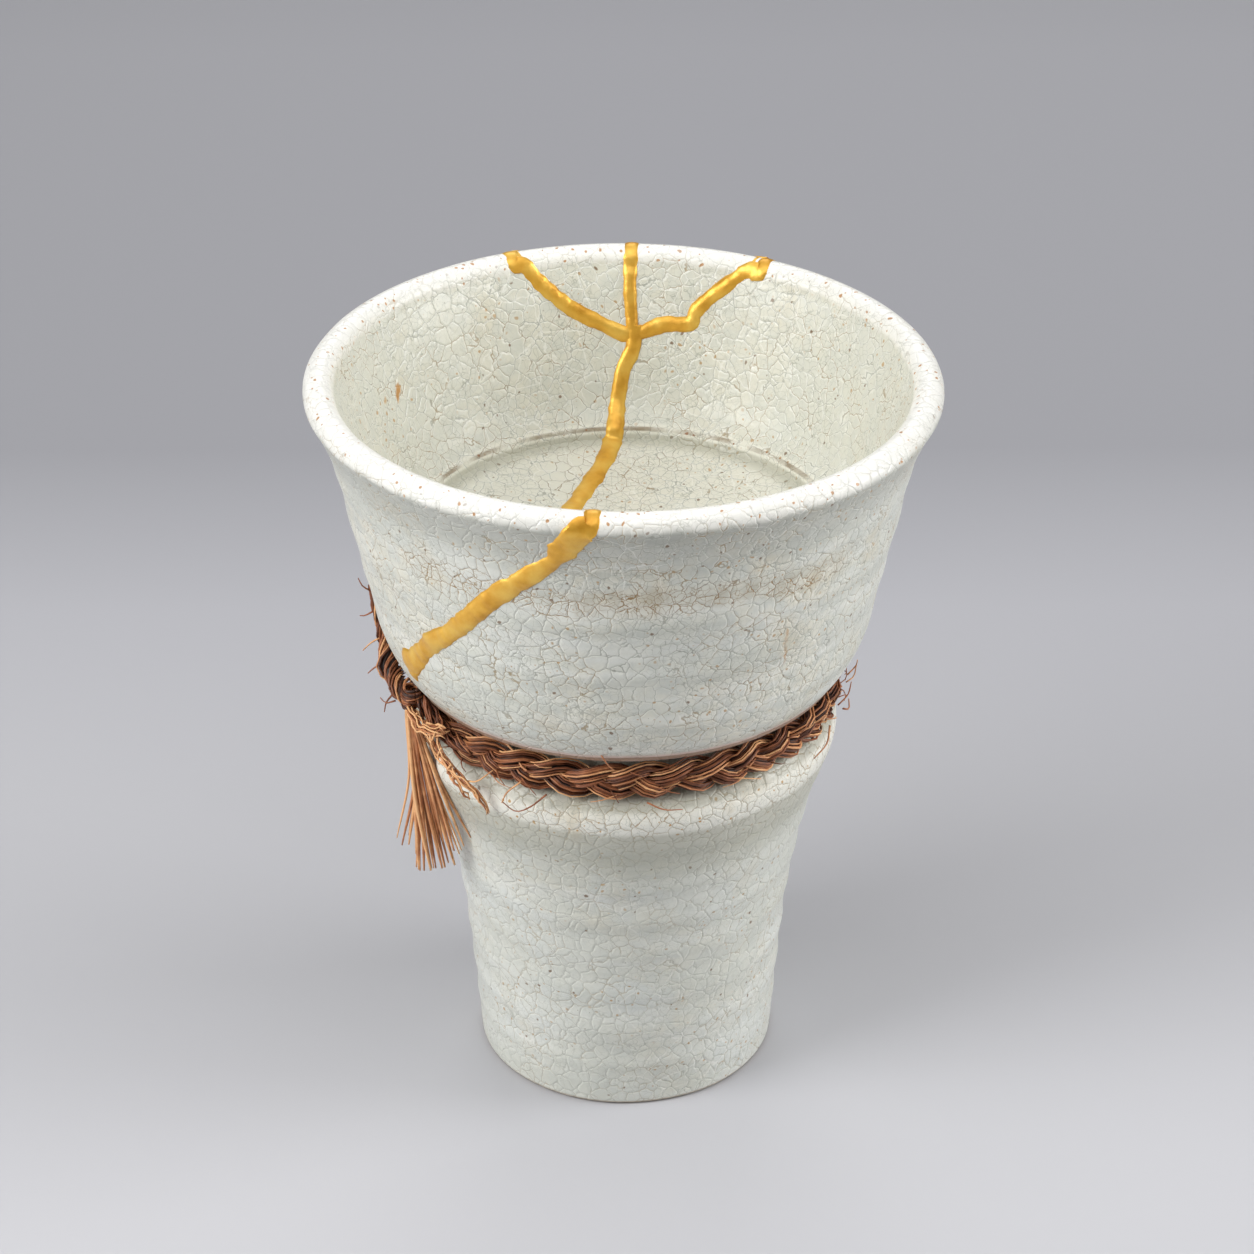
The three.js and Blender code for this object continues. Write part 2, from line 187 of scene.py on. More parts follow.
floor_form = bmesh.new()
bmesh.ops.create_circle(floor_form, cap_ends=True, radius=FLOOR_RADIUS, segments=96)
floor_mesh = bpy.data.meshes.new("floor")
floor_form.to_mesh(floor_mesh)
floor_form.free()
floor_mesh.materials.append(paper)
floor = bpy.data.objects.new("floor", floor_mesh)
bpy.context.scene.collection.objects.link(floor)

# %% Lights
# The place of each light in metres, its width in metres and its power in watts
SOFT_LIGHTS = {
    "light_above": ((0, 0, 1), 1.4, 4.2),
    "light_back": ((0, 0.8, 0.7), 0.5, 1.8),
    "light_near": ((0, -0.15, 0.45), 0.35, 0.53),
    "light_left_low": ((-0.7, -0.2, 0.22), 0.5, 2.25),
    "light_left_high": ((-0.6, -0.3, 0.5), 0.4, 3.4),
    "light_right_low": ((0.7, -0.2, 0.22), 0.5, 2.2),
    "light_right_high": ((0.75, 0, 0.42), 0.4, 3.1),
}
LIT_PLACE = Vector((0, 0, 0.06))
AIR_COLOUR, AIR_STRENGTH = "#c4c8d0", 0.04

for name, (place, width, power) in SOFT_LIGHTS.items():
    light = bpy.data.objects.new(name, bpy.data.lights.new(name, "AREA"))
    light.data.shape = "SQUARE"
    light.data.size = width
    light.data.energy = power
    light.location = place
    light.rotation_euler = (LIT_PLACE - Vector(place)).to_track_quat("-Z", "Y").to_euler()
    bpy.context.scene.collection.objects.link(light)

world = bpy.data.worlds.new("studio air")
world.use_nodes = True
fill(world.node_tree.nodes["Background"], {"Color": hex_colour(AIR_COLOUR), "Strength": AIR_STRENGTH})
bpy.context.scene.world = world

# %% [markdown]
# ## Routes and sections
#
# Gold beads, rope strands and fibres all follow a route, so the helpers for routes come first. A
# few points are given, a smooth curve is drawn through them, and it is divided evenly.
# These pieces are worked in millimetres and turned to metres when they are finished.

# %% Helpers for routes
def smooth_route(points, step):
    """An even, smooth route through points. Each point may carry widths after its place."""
    points = np.array(points, float)
    ends = np.vstack([2 * points[0] - points[1], points, 2 * points[-1] - points[-2]])
    fine = []
    for before, start, end, after in zip(ends, ends[1:], ends[2:], ends[3:]):
        for share in np.linspace(0, 1, 24, endpoint=False):
            fine.append(0.5 * (
                2 * start + (end - before) * share
                + (2 * before - 5 * start + 4 * end - after) * share ** 2
                + (3 * start - before - 3 * end + after) * share ** 3
            ))
    fine = np.array(fine + [points[-1]])
    travelled = np.concatenate([[0], np.cumsum(np.linalg.norm(np.diff(fine[:, :3], axis=0), axis=1))])
    stations = np.linspace(0, travelled[-1], max(int(travelled[-1] / step), 2) + 1)
    return np.column_stack([np.interp(stations, travelled, column) for column in fine.T])


def frames_along(places, side):
    """The unit vectors along, to the side of and above a route, with as little twist as can be."""
    along = np.gradient(places, axis=0)
    along /= np.linalg.norm(along, axis=1, keepdims=True)
    sides = []
    for direction in along:
        side = side - direction * np.dot(side, direction)
        side = side / np.linalg.norm(side)
        sides.append(side)
    sides = np.array(sides)
    return along, sides, np.cross(along, sides)


def around_cup(turn, radius, height):
    """A place round the cup: turn 0 is the front, 90 the right, -90 the left and 180 the back."""
    angle = math.radians(turn)
    return Vector((radius * math.sin(angle), -radius * math.cos(angle), height))


# %% Helpers for pieces
def new_piece(name, form):
    """A piece with this bmesh as its mesh, still in millimetres."""
    mesh = bpy.data.meshes.new(name)
    form.to_mesh(mesh)
    form.free()
    piece = bpy.data.objects.new(name, mesh)
    bpy.context.scene.collection.objects.link(piece)
    return piece


def applied(piece):
    """Puts the result of a piece's modifiers in its mesh."""
    evaluated = piece.evaluated_get(bpy.context.evaluated_depsgraph_get())
    result = bpy.data.meshes.new_from_object(evaluated)
    piece.modifiers.clear()
    piece.data = result
    return piece


def combine(piece, tool, operation, keep_tool=False):
    """Joins the tool to a piece, cuts it out, or keeps what they share."""
    modifier = piece.modifiers.new("combine", "BOOLEAN")
    modifier.object = tool
    modifier.operation = operation
    modifier.solver = "MANIFOLD"
    applied(piece)
    if not keep_tool:
        bpy.data.objects.remove(tool)
    return piece


def finished(piece, material, node, crease=40):
    """Turns a piece to metres, smooths it, gives it its material, hangs it on the root body and hides the
    plain part that it stands for.
    """
    piece.data.transform(TO_METRES)
    piece.data.shade_smooth()
    piece.data.set_sharp_from_angle(angle=math.radians(crease))
    piece.data.materials.clear()
    piece.data.materials.append(material)
    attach(piece, "root")
    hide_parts(node)
    piece.data.calc_loop_triangles()
    print(piece.name, len(piece.data.loop_triangles), "triangles")


# %% [markdown]
# ## The cup's outline
#
# A thrown cup is a turned form, so one half outline says it all: the hollow under the high foot,
# the flared foot, the shoulder, the groove that the rope lies in, the lip, the bowl and the shallow
# floor inside with its ledge. The sizes are those of the plain model. The potter's fingers leave
# faint rings up the wall, one for each turn of the wheel as the hands rise.

# %% Outline sizes
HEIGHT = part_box("cup_body")[1].z / MM
RIM_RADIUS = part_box("cup_body")[1].x / MM
RIM_ROLL = 2.25
LIP_HEIGHT, LIP_RADIUS, LIP_EDGE_DROP = 69.2, 32.9, 0.8
GROOVE_RADIUS, GROOVE_TOP, GROOVE_BOTTOM = 28.6, 68.2, 61.3
SHOULDER_HEIGHT, SHOULDER_RADIUS = 57.2, 32.2
FOOT_RADIUS, FOOT_EDGE, FOOT_RING = 22.9, 0.9, 4.6
LEDGE_HEIGHT, LEDGE_RADIUS, LEDGE_STEP, LEDGE_RUN = 89.8, 31.4, 1.6, 1
FLOOR_DISH, FLOOR_THICKNESS, WALL = 3.8, 6, 4.8
ROLL_HEIGHT = HEIGHT - RIM_ROLL
ROLL_RADIUS = RIM_RADIUS - RIM_ROLL

# Shares of a wall's height and of its flare
LOWER_WALL = [
    (0, 0), (0.15, 0.065), (0.31, 0.15), (0.47, 0.24), (0.64, 0.41), (0.76, 0.56), (0.88, 0.77),
    (0.96, 0.95), (1, 1),
]
UPPER_WALL = [
    (0, 0), (0.06, 0.14), (0.154, 0.273), (0.365, 0.424), (0.577, 0.572), (0.788, 0.718),
    (0.93, 0.885), (1, 1),
]
BOWL_WALL = [(0, 0), (0.03, 0.08), (0.13, 0.27), (0.35, 0.48), (0.6, 0.67), (0.85, 0.86), (1, 1)]
# The pitch and the depth of the rings on each wall
LOWER_RINGS, UPPER_RINGS, BOWL_RINGS = (7.3, 0.24), (8.6, 0.21), (8.6, 0.06)


# %% Outline
def wall_outline(shape, start, end, step):
    """A wall's outline as radius and height, from its shares and its two ends."""
    points = [
        (start[0] + (end[0] - start[0]) * flare, start[1] + (end[1] - start[1]) * rise, 0)
        for rise, flare in shape
    ]
    return smooth_route(points, step)[:, :2]


def arc_outline(centre, radii, first, last, count):
    """A round corner, from one angle to another, in degrees from straight out."""
    angles = np.radians(np.linspace(first, last, count))
    return np.column_stack([centre[0] + radii[0] * np.cos(angles), centre[1] + radii[1] * np.sin(angles)])


def ringed(outline, pitch, depth):
    """The rings that the potter's fingers leave: soft hollows with a ridge between each two."""
    height = outline[:, 1]
    fade = np.clip(np.minimum(height - height.min(), height.max() - height) / pitch, 0, 1)
    wander = np.array([noise.noise(Vector((0, 0, 0.8 * h / pitch))) for h in height])
    ridges = 0.6 - np.sqrt(np.sin(math.pi * (height / pitch + 0.5 * wander)) ** 2 + 0.01)
    return outline + np.column_stack([depth * fade * ridges * (1 + wander), np.zeros(len(outline))])


FINE = 0.62
COARSE = 3.5
waist_inside = GROOVE_RADIUS - WALL
ring_inside = FOOT_RADIUS - FOOT_RING
ceiling = LEDGE_HEIGHT - LEDGE_STEP - FLOOR_DISH - FLOOR_THICKNESS
floor_edge = (LEDGE_RADIUS - LEDGE_RUN, LEDGE_HEIGHT - LEDGE_STEP)

lower_wall = wall_outline(
    LOWER_WALL, (FOOT_RADIUS, FOOT_EDGE), (SHOULDER_RADIUS, SHOULDER_HEIGHT), FINE,
)
upper_wall = wall_outline(UPPER_WALL, (LIP_RADIUS, LIP_HEIGHT), (RIM_RADIUS, ROLL_HEIGHT), FINE)
bowl_wall = wall_outline(
    BOWL_WALL, (LEDGE_RADIUS, LEDGE_HEIGHT), (ROLL_RADIUS - RIM_ROLL, ROLL_HEIGHT), FINE,
)[::-1]

hollow_wall = wall_outline(
    LOWER_WALL, (FOOT_RADIUS, FOOT_EDGE), (SHOULDER_RADIUS, SHOULDER_HEIGHT), COARSE,
)[1:-1]
hollow_wall[:, 0] = np.clip(hollow_wall[:, 0] - WALL, ring_inside, waist_inside + WALL / 2)
foot_hollow = np.vstack([
    [(0, ceiling), (4, ceiling), (9, ceiling)],
    arc_outline((waist_inside - 2 * WALL, ceiling - WALL), (2 * WALL, WALL), 80, 0, 9),
    [(waist_inside, GROOVE_BOTTOM)],
    hollow_wall[::-1],
    [(ring_inside, 1), (ring_inside + 0.3, 0.2), (ring_inside + 0.8, 0)],
])
foot_edge = arc_outline((FOOT_RADIUS - FOOT_EDGE, FOOT_EDGE), (FOOT_EDGE, FOOT_EDGE), -90, -12, 6)
shoulder = arc_outline(
    (GROOVE_RADIUS + 0.5, SHOULDER_HEIGHT),
    (SHOULDER_RADIUS - GROOVE_RADIUS - 0.5, GROOVE_BOTTOM - SHOULDER_HEIGHT), 8, 90, 10,
)
groove = np.array([
    (GROOVE_RADIUS + 0.15, GROOVE_BOTTOM + 0.1), (GROOVE_RADIUS, GROOVE_BOTTOM + 0.5),
    (GROOVE_RADIUS, GROOVE_TOP - 1.2), (GROOVE_RADIUS + 0.2, GROOVE_TOP - 0.4),
    (GROOVE_RADIUS + 0.8, GROOVE_TOP - 0.05), (LIP_RADIUS - 1.6, GROOVE_TOP + 0.1),
    (LIP_RADIUS - LIP_EDGE_DROP, LIP_HEIGHT - LIP_EDGE_DROP), (LIP_RADIUS - 0.3, LIP_HEIGHT - 0.62),
    (LIP_RADIUS - 0.05, LIP_HEIGHT - 0.35),
])
rim = arc_outline((ROLL_RADIUS, ROLL_HEIGHT), (RIM_ROLL, RIM_ROLL), 10, 170, 15)
floor_shares = np.linspace(1, 0, 34)
dish = np.column_stack([
    floor_edge[0] * floor_shares, floor_edge[1] - FLOOR_DISH * (1 - floor_shares ** 2),
])
ledge = np.array([(LEDGE_RADIUS - 0.35, LEDGE_HEIGHT - 0.15), (LEDGE_RADIUS - 0.55, LEDGE_HEIGHT - 0.55)])
outside_outline = ringed(upper_wall, *UPPER_RINGS)
inside_outline = np.vstack([ringed(bowl_wall, *BOWL_RINGS), ledge, dish])
cup_outline = np.vstack([
    foot_hollow, foot_edge, ringed(lower_wall, *LOWER_RINGS), shoulder, groove, outside_outline, rim,
    inside_outline,
])
print("outline", len(cup_outline), "points")

# %% [markdown]
# ## The body of the cup
#
# The outline is spun round the axis into a closed shell. Real pots are never quite round: they
# leave the wheel soft, so the rim is a little oval and dips to one side. One function moves every
# point of the true form by that much, and the gold goes through it too, so the two stay together.

# %% Spin the cup
CUP_STEPS = 250
OVAL = 0.004
RIM_DIP = 0.35
SURFACE_UNEVEN = 0.09


def thrown(place):
    """Moves a place on the true form to where the potter's hands left it."""
    turn = math.atan2(place.x, -place.y)
    rise = place.z / HEIGHT
    swell = 1 + OVAL * rise * math.sin(2 * turn + 0.6) - OVAL * rise * 0.8
    unevenness = SURFACE_UNEVEN * noise.noise(place * 0.09)
    out = Vector((place.x, place.y, 0)).normalized()
    moved = Vector((place.x * swell, place.y * swell, place.z)) + out * unevenness
    moved.z -= RIM_DIP * rise ** 3 * (0.5 + 0.5 * math.sin(turn))
    return moved


cup_form = bmesh.new()
outline_corners = [cup_form.verts.new((radius, 0, height)) for radius, height in cup_outline]
outline_edges = [cup_form.edges.new(pair) for pair in zip(outline_corners, outline_corners[1:])]
bmesh.ops.spin(
    cup_form, geom=outline_corners + outline_edges, cent=(0, 0, 0), axis=(0, 0, 1),
    angle=2 * math.pi, steps=CUP_STEPS, use_merge=True,
)
bmesh.ops.remove_doubles(cup_form, verts=cup_form.verts, dist=0.001)
bmesh.ops.recalc_face_normals(cup_form, faces=cup_form.faces)
whole_cup = new_piece("cup_body", cup_form)
print("cup", len(whole_cup.data.polygons), "faces")

# %% [markdown]
# ## The cracks
#
# The cup broke into a body and two shards of the rim. Each crack is a short list of stations: how
# far round the cup it is, how high it is as a share of the wall from the lip to the rim, and how
# wide the gold is there. A thin blade is carried along each crack, and what it cuts out of the
# shell parts the shards, as a break does.

# %% Crack stations
FRONT_CRACK = [
    (-5.5, 1.12, 1), (-6.8, 0.965, 1.02), (-9.8, 0.89, 1.12), (-11.4, 0.85, 0.95), (-12.6, 0.822, 0.62),
    (-14, 0.8, 0.74), (-18.5, 0.735, 0.8), (-26.5, 0.62, 0.85), (-36.3, 0.46, 0.82), (-46, 0.335, 0.82),
    (-53.5, 0.22, 0.98),
]
SEAM_TIP = [(-56.1, 0.115, 0.25), (-56.8, 0.15, 0.7), (-56.6, 0.19, 1.05)]
LEFT_CRACK = [
    (-157, 1.12, 1), (-159, 0.97, 1), (-162.5, 0.9, 1), (-167.8, 0.825, 1), (-175.5, 0.757, 1),
    (-182.5, 0.715, 1),
]
MIDDLE_CRACK = [(178.2, 1.12, 1), (178.5, 0.93, 0.88), (178.2, 0.8, 0.8), (177.6, 0.7, 0.85)]
RIGHT_CRACK = [
    (150, 1.12, 1), (153, 0.97, 1), (157.6, 0.905, 0.95), (163.2, 0.82, 1), (164.6, 0.775, 1),
    (171, 0.76, 1), (177.6, 0.72, 1),
]
BACK_CRACK = [
    (177.4, 0.76, 1), (177.6, 0.69, 1.05), (180, 0.61, 1), (181.4, 0.52, 1), (182.2, 0.44, 1.1),
    (184, 0.26, 1), (181, 0.1, 0.85), (182, -0.01, 0.7),
]
# Shares of the ledge's radius to the right and to the back
FLOOR_CRACK = [
    (-0.05, 0.96), (-0.1, 0.78), (-0.19, 0.55), (-0.29, 0.3), (-0.38, 0.06), (-0.46, -0.22),
    (-0.54, -0.5), (-0.6, -0.74),
]
CRACK_WIDTH = 0.5
BEAD_INSIDE, BEAD_FLOOR, BEAD_FRONT = 2.6, 3.1, 4
SQUARE = Matrix.Rotation(math.radians(45), 4, "Z") @ Matrix.Scale(math.sqrt(2), 4)


# %% Blades along the cracks
def height_at(rise):
    return LIP_HEIGHT + (HEIGHT - LIP_HEIGHT) * rise


def station(place, side, out, along, half_width, half_height):
    """The matrix that carries a section of radius 1 to its place on a route."""
    columns = [side * half_width, out * half_height, along, place]
    return Matrix([*zip(*columns), (0, 0, 0, 1)])


def swept(name, stations, sides=14, section=Matrix.Identity(4)):
    """A closed bar: a ring that is carried along its stations, extruding its wall as it goes."""
    form = bmesh.new()
    bmesh.ops.create_circle(form, cap_ends=True, radius=1, segments=sides)
    bmesh.ops.transform(form, matrix=stations[0] @ section, verts=form.verts)
    edges = list(form.edges)
    for before, after in zip(stations, stations[1:]):
        grown = bmesh.ops.extrude_edge_only(form, edges=edges)["geom"]
        corners = [part for part in grown if isinstance(part, bmesh.types.BMVert)]
        bmesh.ops.transform(form, matrix=after @ before.inverted(), verts=corners)
        edges = [part for part in grown if isinstance(part, bmesh.types.BMEdge) and part.is_boundary]
    bmesh.ops.holes_fill(form, edges=edges)
    bmesh.ops.recalc_face_normals(form, faces=form.faces)
    return new_piece(name, form)


def crack_blade(crack, thickness):
    """A blade through the wall that follows a crack from end to end."""
    inner, outer = floor_edge[0], RIM_RADIUS + WALL
    middle = (inner + outer) / 2
    places = smooth_route([around_cup(turn, middle, height_at(rise)) for turn, rise, _ in crack], 1)
    directions = np.gradient(places, axis=0)
    stations = []
    for place, direction in zip(map(Vector, places), map(Vector, directions)):
        out = Vector((place.x, place.y, 0)).normalized()
        along = (direction - out * direction.dot(out)).normalized()
        stations.append(station(place, out, along.cross(out), along, (outer - inner) / 2, thickness / 2))
    return swept("blade", stations, 4, SQUARE)


wall_cracks = [FRONT_CRACK, LEFT_CRACK, MIDDLE_CRACK, RIGHT_CRACK, BACK_CRACK]
web = None
for crack in wall_cracks:
    filling = combine(crack_blade(crack, CRACK_WIDTH * 0.9), whole_cup, "INTERSECT", keep_tool=True)
    web = combine(web, filling, "UNION") if web else filling
for crack in wall_cracks:
    combine(whole_cup, crack_blade(crack, CRACK_WIDTH), "DIFFERENCE")

for mesh in (whole_cup.data, web.data):
    for corner in mesh.vertices:
        corner.co = thrown(corner.co)

# %% Part the shards
for piece in bpy.context.view_layer.objects:
    piece.select_set(piece == whole_cup)
bpy.context.view_layer.objects.active = whole_cup
bpy.ops.mesh.separate(type="LOOSE")
parted = sorted(bpy.context.selected_objects, key=lambda piece: -len(piece.data.vertices))
cup_body, shards = parted[0], parted[1:3]
shards.sort(key=lambda piece: np.mean([corner.co.x for corner in piece.data.vertices]))
for leftover in parted[3:]:
    bpy.data.objects.remove(leftover)
print("pottery", [len(piece.data.polygons) for piece in parted[:3]], "faces")

# %% [markdown]
# ## Crackled celadon glaze
#
# Celadon is a glassy grey-green glaze on pale stoneware. It shrinks more than the clay as it cools,
# so it crazes into a net of fine cracks, a coarse net first and a finer one between. Tea and iron
# stain them brown and ochre. Specks of iron come up from the clay. On the rim and on the edge of
# the lip the glaze runs thin, and the clay shows pink and white. A painted net could do, but one
# worked out in space has no seams and wraps every edge. Each pattern is worked out once and kept
# by name, and the colour is then built up from the bottom in layers, as a table. One pattern is
# drawn out along the throwing rings. Its pale and grey bands are partly glaze that pools in the
# hollows and partly painted light and shade on the rings. Other layers are painted light and
# shade: shade inside the bowl, under the rim and below the ledge, and light on the shoulder and
# on the rim.

# %% Soft patches
glaze, glaze_shader = new_material("crackled celadon glaze")
glaze_place = add_node(glaze, "ShaderNodeTexCoord", {}, "Object")
flat_place = add_node(glaze, "ShaderNodeVectorMath", {
    0: glaze_place, 1: (1, 1, 0),
}, "Vector", operation="MULTIPLY")
height = add_node(glaze, "ShaderNodeSeparateXYZ", {"Vector": glaze_place}, "Z")
pattern = {
    "height": height,
    "to the right": height.node.outputs["X"],
    "to the back": height.node.outputs["Y"],
    "radius": add_node(glaze, "ShaderNodeVectorMath", {0: flat_place}, "Value", operation="LENGTH"),
}

# The size of each kind of patch in millimetres, and its detail
PATCHES = {
    "broad": (24, 3), "wide": (13, 3), "ragged": (9, 5), "middling": (6, 3), "small": (4, 3),
    "clouds": (2.8, 3), "grain": (0.9, 3), "lumps": (4.5, 2),
}
for name, (size, detail) in PATCHES.items():
    pattern[name] = add_node(glaze, "ShaderNodeTexNoise", {
        "Vector": glaze_place, "Scale": cells_of(size), "Detail": detail,
    }, "Fac")

# The height of a pooled band in millimetres, and how much the pattern is shrunk along the rings
RING_PATCH, DRAWN_OUT = 2.6, 0.09
ring_place = add_node(glaze, "ShaderNodeVectorMath", {
    0: glaze_place, 1: (DRAWN_OUT, DRAWN_OUT, 1),
}, "Vector", operation="MULTIPLY")
pattern["rings"] = add_node(glaze, "ShaderNodeTexNoise", {
    "Vector": ring_place, "Scale": cells_of(RING_PATCH), "Detail": 2,
}, "Fac")

# The wall leans out by this share of its rise. What the radius has beyond that is more on the
# outside of the wall than on the inside, so it tells them apart.
WALL_LEAN = 0.36
pattern["lean"] = add_node(glaze, "ShaderNodeMath", {
    0: height, 1: -WALL_LEAN, 2: pattern["radius"],
}, "Value", operation="MULTIPLY_ADD")

# Heights that wander: the patches that move each one, and how far in millimetres
WANDERING = {"rim line": ("small", 1.8), "lip line": ("middling", 0.9), "band line": ("wide", 9)}
for name, (source, reach) in WANDERING.items():
    pattern[name] = add_node(glaze, "ShaderNodeMath", {
        0: pattern[source], 1: reach * MM, 2: height,
    }, "Value", operation="MULTIPLY_ADD")

# %% Crackle
BEND_SIZE, BEND_REACH = 1.6, 1.1

bend = add_node(glaze, "ShaderNodeTexNoise", {
    "Vector": glaze_place, "Scale": cells_of(BEND_SIZE), "Detail": 2,
}, "Color")
bend = add_node(glaze, "ShaderNodeVectorMath", {
    0: bend, 1: (0.5, 0.5, 0.5),
}, "Vector", operation="SUBTRACT")
bent_place = add_node(glaze, "ShaderNodeVectorMath", {
    0: bend, 1: (BEND_REACH * MM,) * 3, 2: glaze_place,
}, "Vector", operation="MULTIPLY_ADD")

# Each net's cells and how far its lines and their curled edges reach, in millimetres
NETS = {
    "coarse": (2.15, {"net": 0.072, "curl": 0.26}), "fine": (1.1, {"net": 0.045}),
    "raised": (6.5, {"net": 0.12}),
}
# The share of a line's reach that is at full strength
LINE_CORE = 0.2
for name, (cell, parts) in NETS.items():
    distance = add_node(glaze, "ShaderNodeTexVoronoi", {
        "Vector": bent_place, "Scale": cells_of(cell),
    }, "Distance", feature="DISTANCE_TO_EDGE")
    for part, reach in parts.items():
        pattern[f"{name} {part}"] = add_node(glaze, "ShaderNodeMapRange", {
            "Value": distance, "From Min": reach / cell, "From Max": LINE_CORE * reach / cell,
        }, "Result", interpolation_type="SMOOTHSTEP")

# %% Specks
# Each kind of speck: its cells and widest radius in millimetres, and the share of cells without one
SPECKS = {
    "iron": (1.9, 0.36, 0.5), "freckles": (1.1, 0.33, 0.25), "pits": (0.9, 0.15, 0.5),
    "rust": (1.1, 0.36, 0.2),
}
# The soft edge of a speck, as a share of the widest radius
SPECK_EDGE = 0.3
for name, (cell, radius, without) in SPECKS.items():
    distance = add_node(glaze, "ShaderNodeTexVoronoi", {
        "Vector": bent_place, "Scale": cells_of(cell),
    }, "Distance")
    chance = add_node(glaze, "ShaderNodeSeparateColor", {"Color": distance.node.outputs["Color"]}, "Red")
    reach = add_node(glaze, "ShaderNodeMath", {
        0: chance, 1: radius / cell,
    }, "Value", operation="MULTIPLY")
    inside = add_node(glaze, "ShaderNodeMath", {0: reach, 1: distance}, "Value", operation="SUBTRACT")
    spot = add_node(glaze, "ShaderNodeMapRange", {
        "Value": inside, "From Max": SPECK_EDGE * radius / cell,
    }, "Result")
    lucky = add_node(glaze, "ShaderNodeMath", {
        0: chance.node.outputs["Green"], 1: without,
    }, "Value", operation="GREATER_THAN")
    pattern[name] = add_node(glaze, "ShaderNodeMath", {0: spot, 1: lucky}, "Value", operation="MULTIPLY")

# %% Single stains
# The middle of each stain and its reach on each axis, in millimetres
STAINS = {
    "streak in front": ((22.6, -32, 87.4), (0.3, 4, 5)),
    "streak inside": ((-33.8, 17.6, 102.2), (0.4, 1.6, 2.2)),
    "second streak inside": ((-35.6, 14.2, 102.6), (0.4, 0.7, 1)),
    "drop by the rope": ((1, -32.3, 61.2), (0.9, 2, 0.7)),
    "second drop by the rope": ((6, -31.9, 61.3), (0.7, 2, 0.9)),
}
for name, (middle, reach) in STAINS.items():
    offset = add_node(glaze, "ShaderNodeVectorMath", {
        0: bent_place, 1: Vector(middle) * MM,
    }, "Vector", operation="SUBTRACT")
    offset = add_node(glaze, "ShaderNodeVectorMath", {
        0: offset, 1: [cells_of(side) for side in reach],
    }, "Vector", operation="MULTIPLY")
    distance = add_node(glaze, "ShaderNodeVectorMath", {0: offset}, "Value", operation="LENGTH")
    pattern[name] = add_node(glaze, "ShaderNodeMapRange", {
        "Value": distance, "From Min": 1, "From Max": 0.5,
    }, "Result", interpolation_type="SMOOTHSTEP")

# %% Masks
# What each mask reads, where it is 0 and where it is 1
SHARE_MASKS = {
    "warm": ("broad", 0.42, 0.6), "cloudy": ("clouds", 0.38, 0.66), "cool": ("wide", 0.44, 0.72),
    "ochre": ("ragged", 0.56, 0.72), "fine areas": ("ragged", 0.3, 0.56), "tea": ("middling", 0.46, 0.6),
    "deep": ("small", 0.3, 0.7), "freckled": ("wide", 0.42, 0.56), "rare": ("broad", 0.5, 0.56),
    "ridges": ("rings", 0.5, 0.68), "hollows": ("rings", 0.5, 0.34),
}
# The same in millimetres
PLACE_MASKS = {
    "above band": ("band line", 100.6, 102.6), "below band": ("band line", 107.2, 104.6),
    "front": ("to the back", -24, -32), "right": ("to the right", -16, -6), "low": ("height", 62, 52),
    "above shoulder": ("height", 50, 54), "below groove": ("height", 61.5, 60),
    "inside": ("lean", 3.6, 1.8), "outside": ("lean", 3.6, 4.6), "bowl": ("height", 80, 84),
    "shade under rim": ("height", 101, 111), "rim": ("rim line", HEIGHT - 1.9, HEIGHT - 0.6),
    "lit rim top": ("rim line", HEIGHT - 0.4, HEIGHT + 0.5),
    "above lip line": ("lip line", LIP_HEIGHT + 0.75, LIP_HEIGHT + 0.5),
    "below lip line": ("lip line", LIP_HEIGHT - 0.35, LIP_HEIGHT - 0.1),
    "above lip": ("lip line", LIP_HEIGHT + 1.6, LIP_HEIGHT + 0.9),
    "below lip": ("lip line", LIP_HEIGHT - 1.2, LIP_HEIGHT - 0.6),
    "on floor": ("radius", LEDGE_RADIUS + 0.6, LEDGE_RADIUS + 0.2),
    "above ledge": ("height", LEDGE_HEIGHT, LEDGE_HEIGHT - 0.15),
    "below ledge": ("height", LEDGE_HEIGHT - 0.65, LEDGE_HEIGHT - 0.45),
    "shade under ledge": ("radius", LEDGE_RADIUS - LEDGE_RUN - 3, LEDGE_RADIUS - LEDGE_RUN - 0.3),
    "at floor": ("height", LEDGE_HEIGHT - 0.7, LEDGE_HEIGHT - 1.2),
    "foot": ("height", 0.9, 0.3),
}
for masks, unit in ((SHARE_MASKS, 1), (PLACE_MASKS, MM)):
    for name, (source, none, full) in masks.items():
        pattern[name] = add_node(glaze, "ShaderNodeMapRange", {
            "Value": pattern[source], "From Min": none * unit, "From Max": full * unit,
        }, "Result", interpolation_type="SMOOTHSTEP")

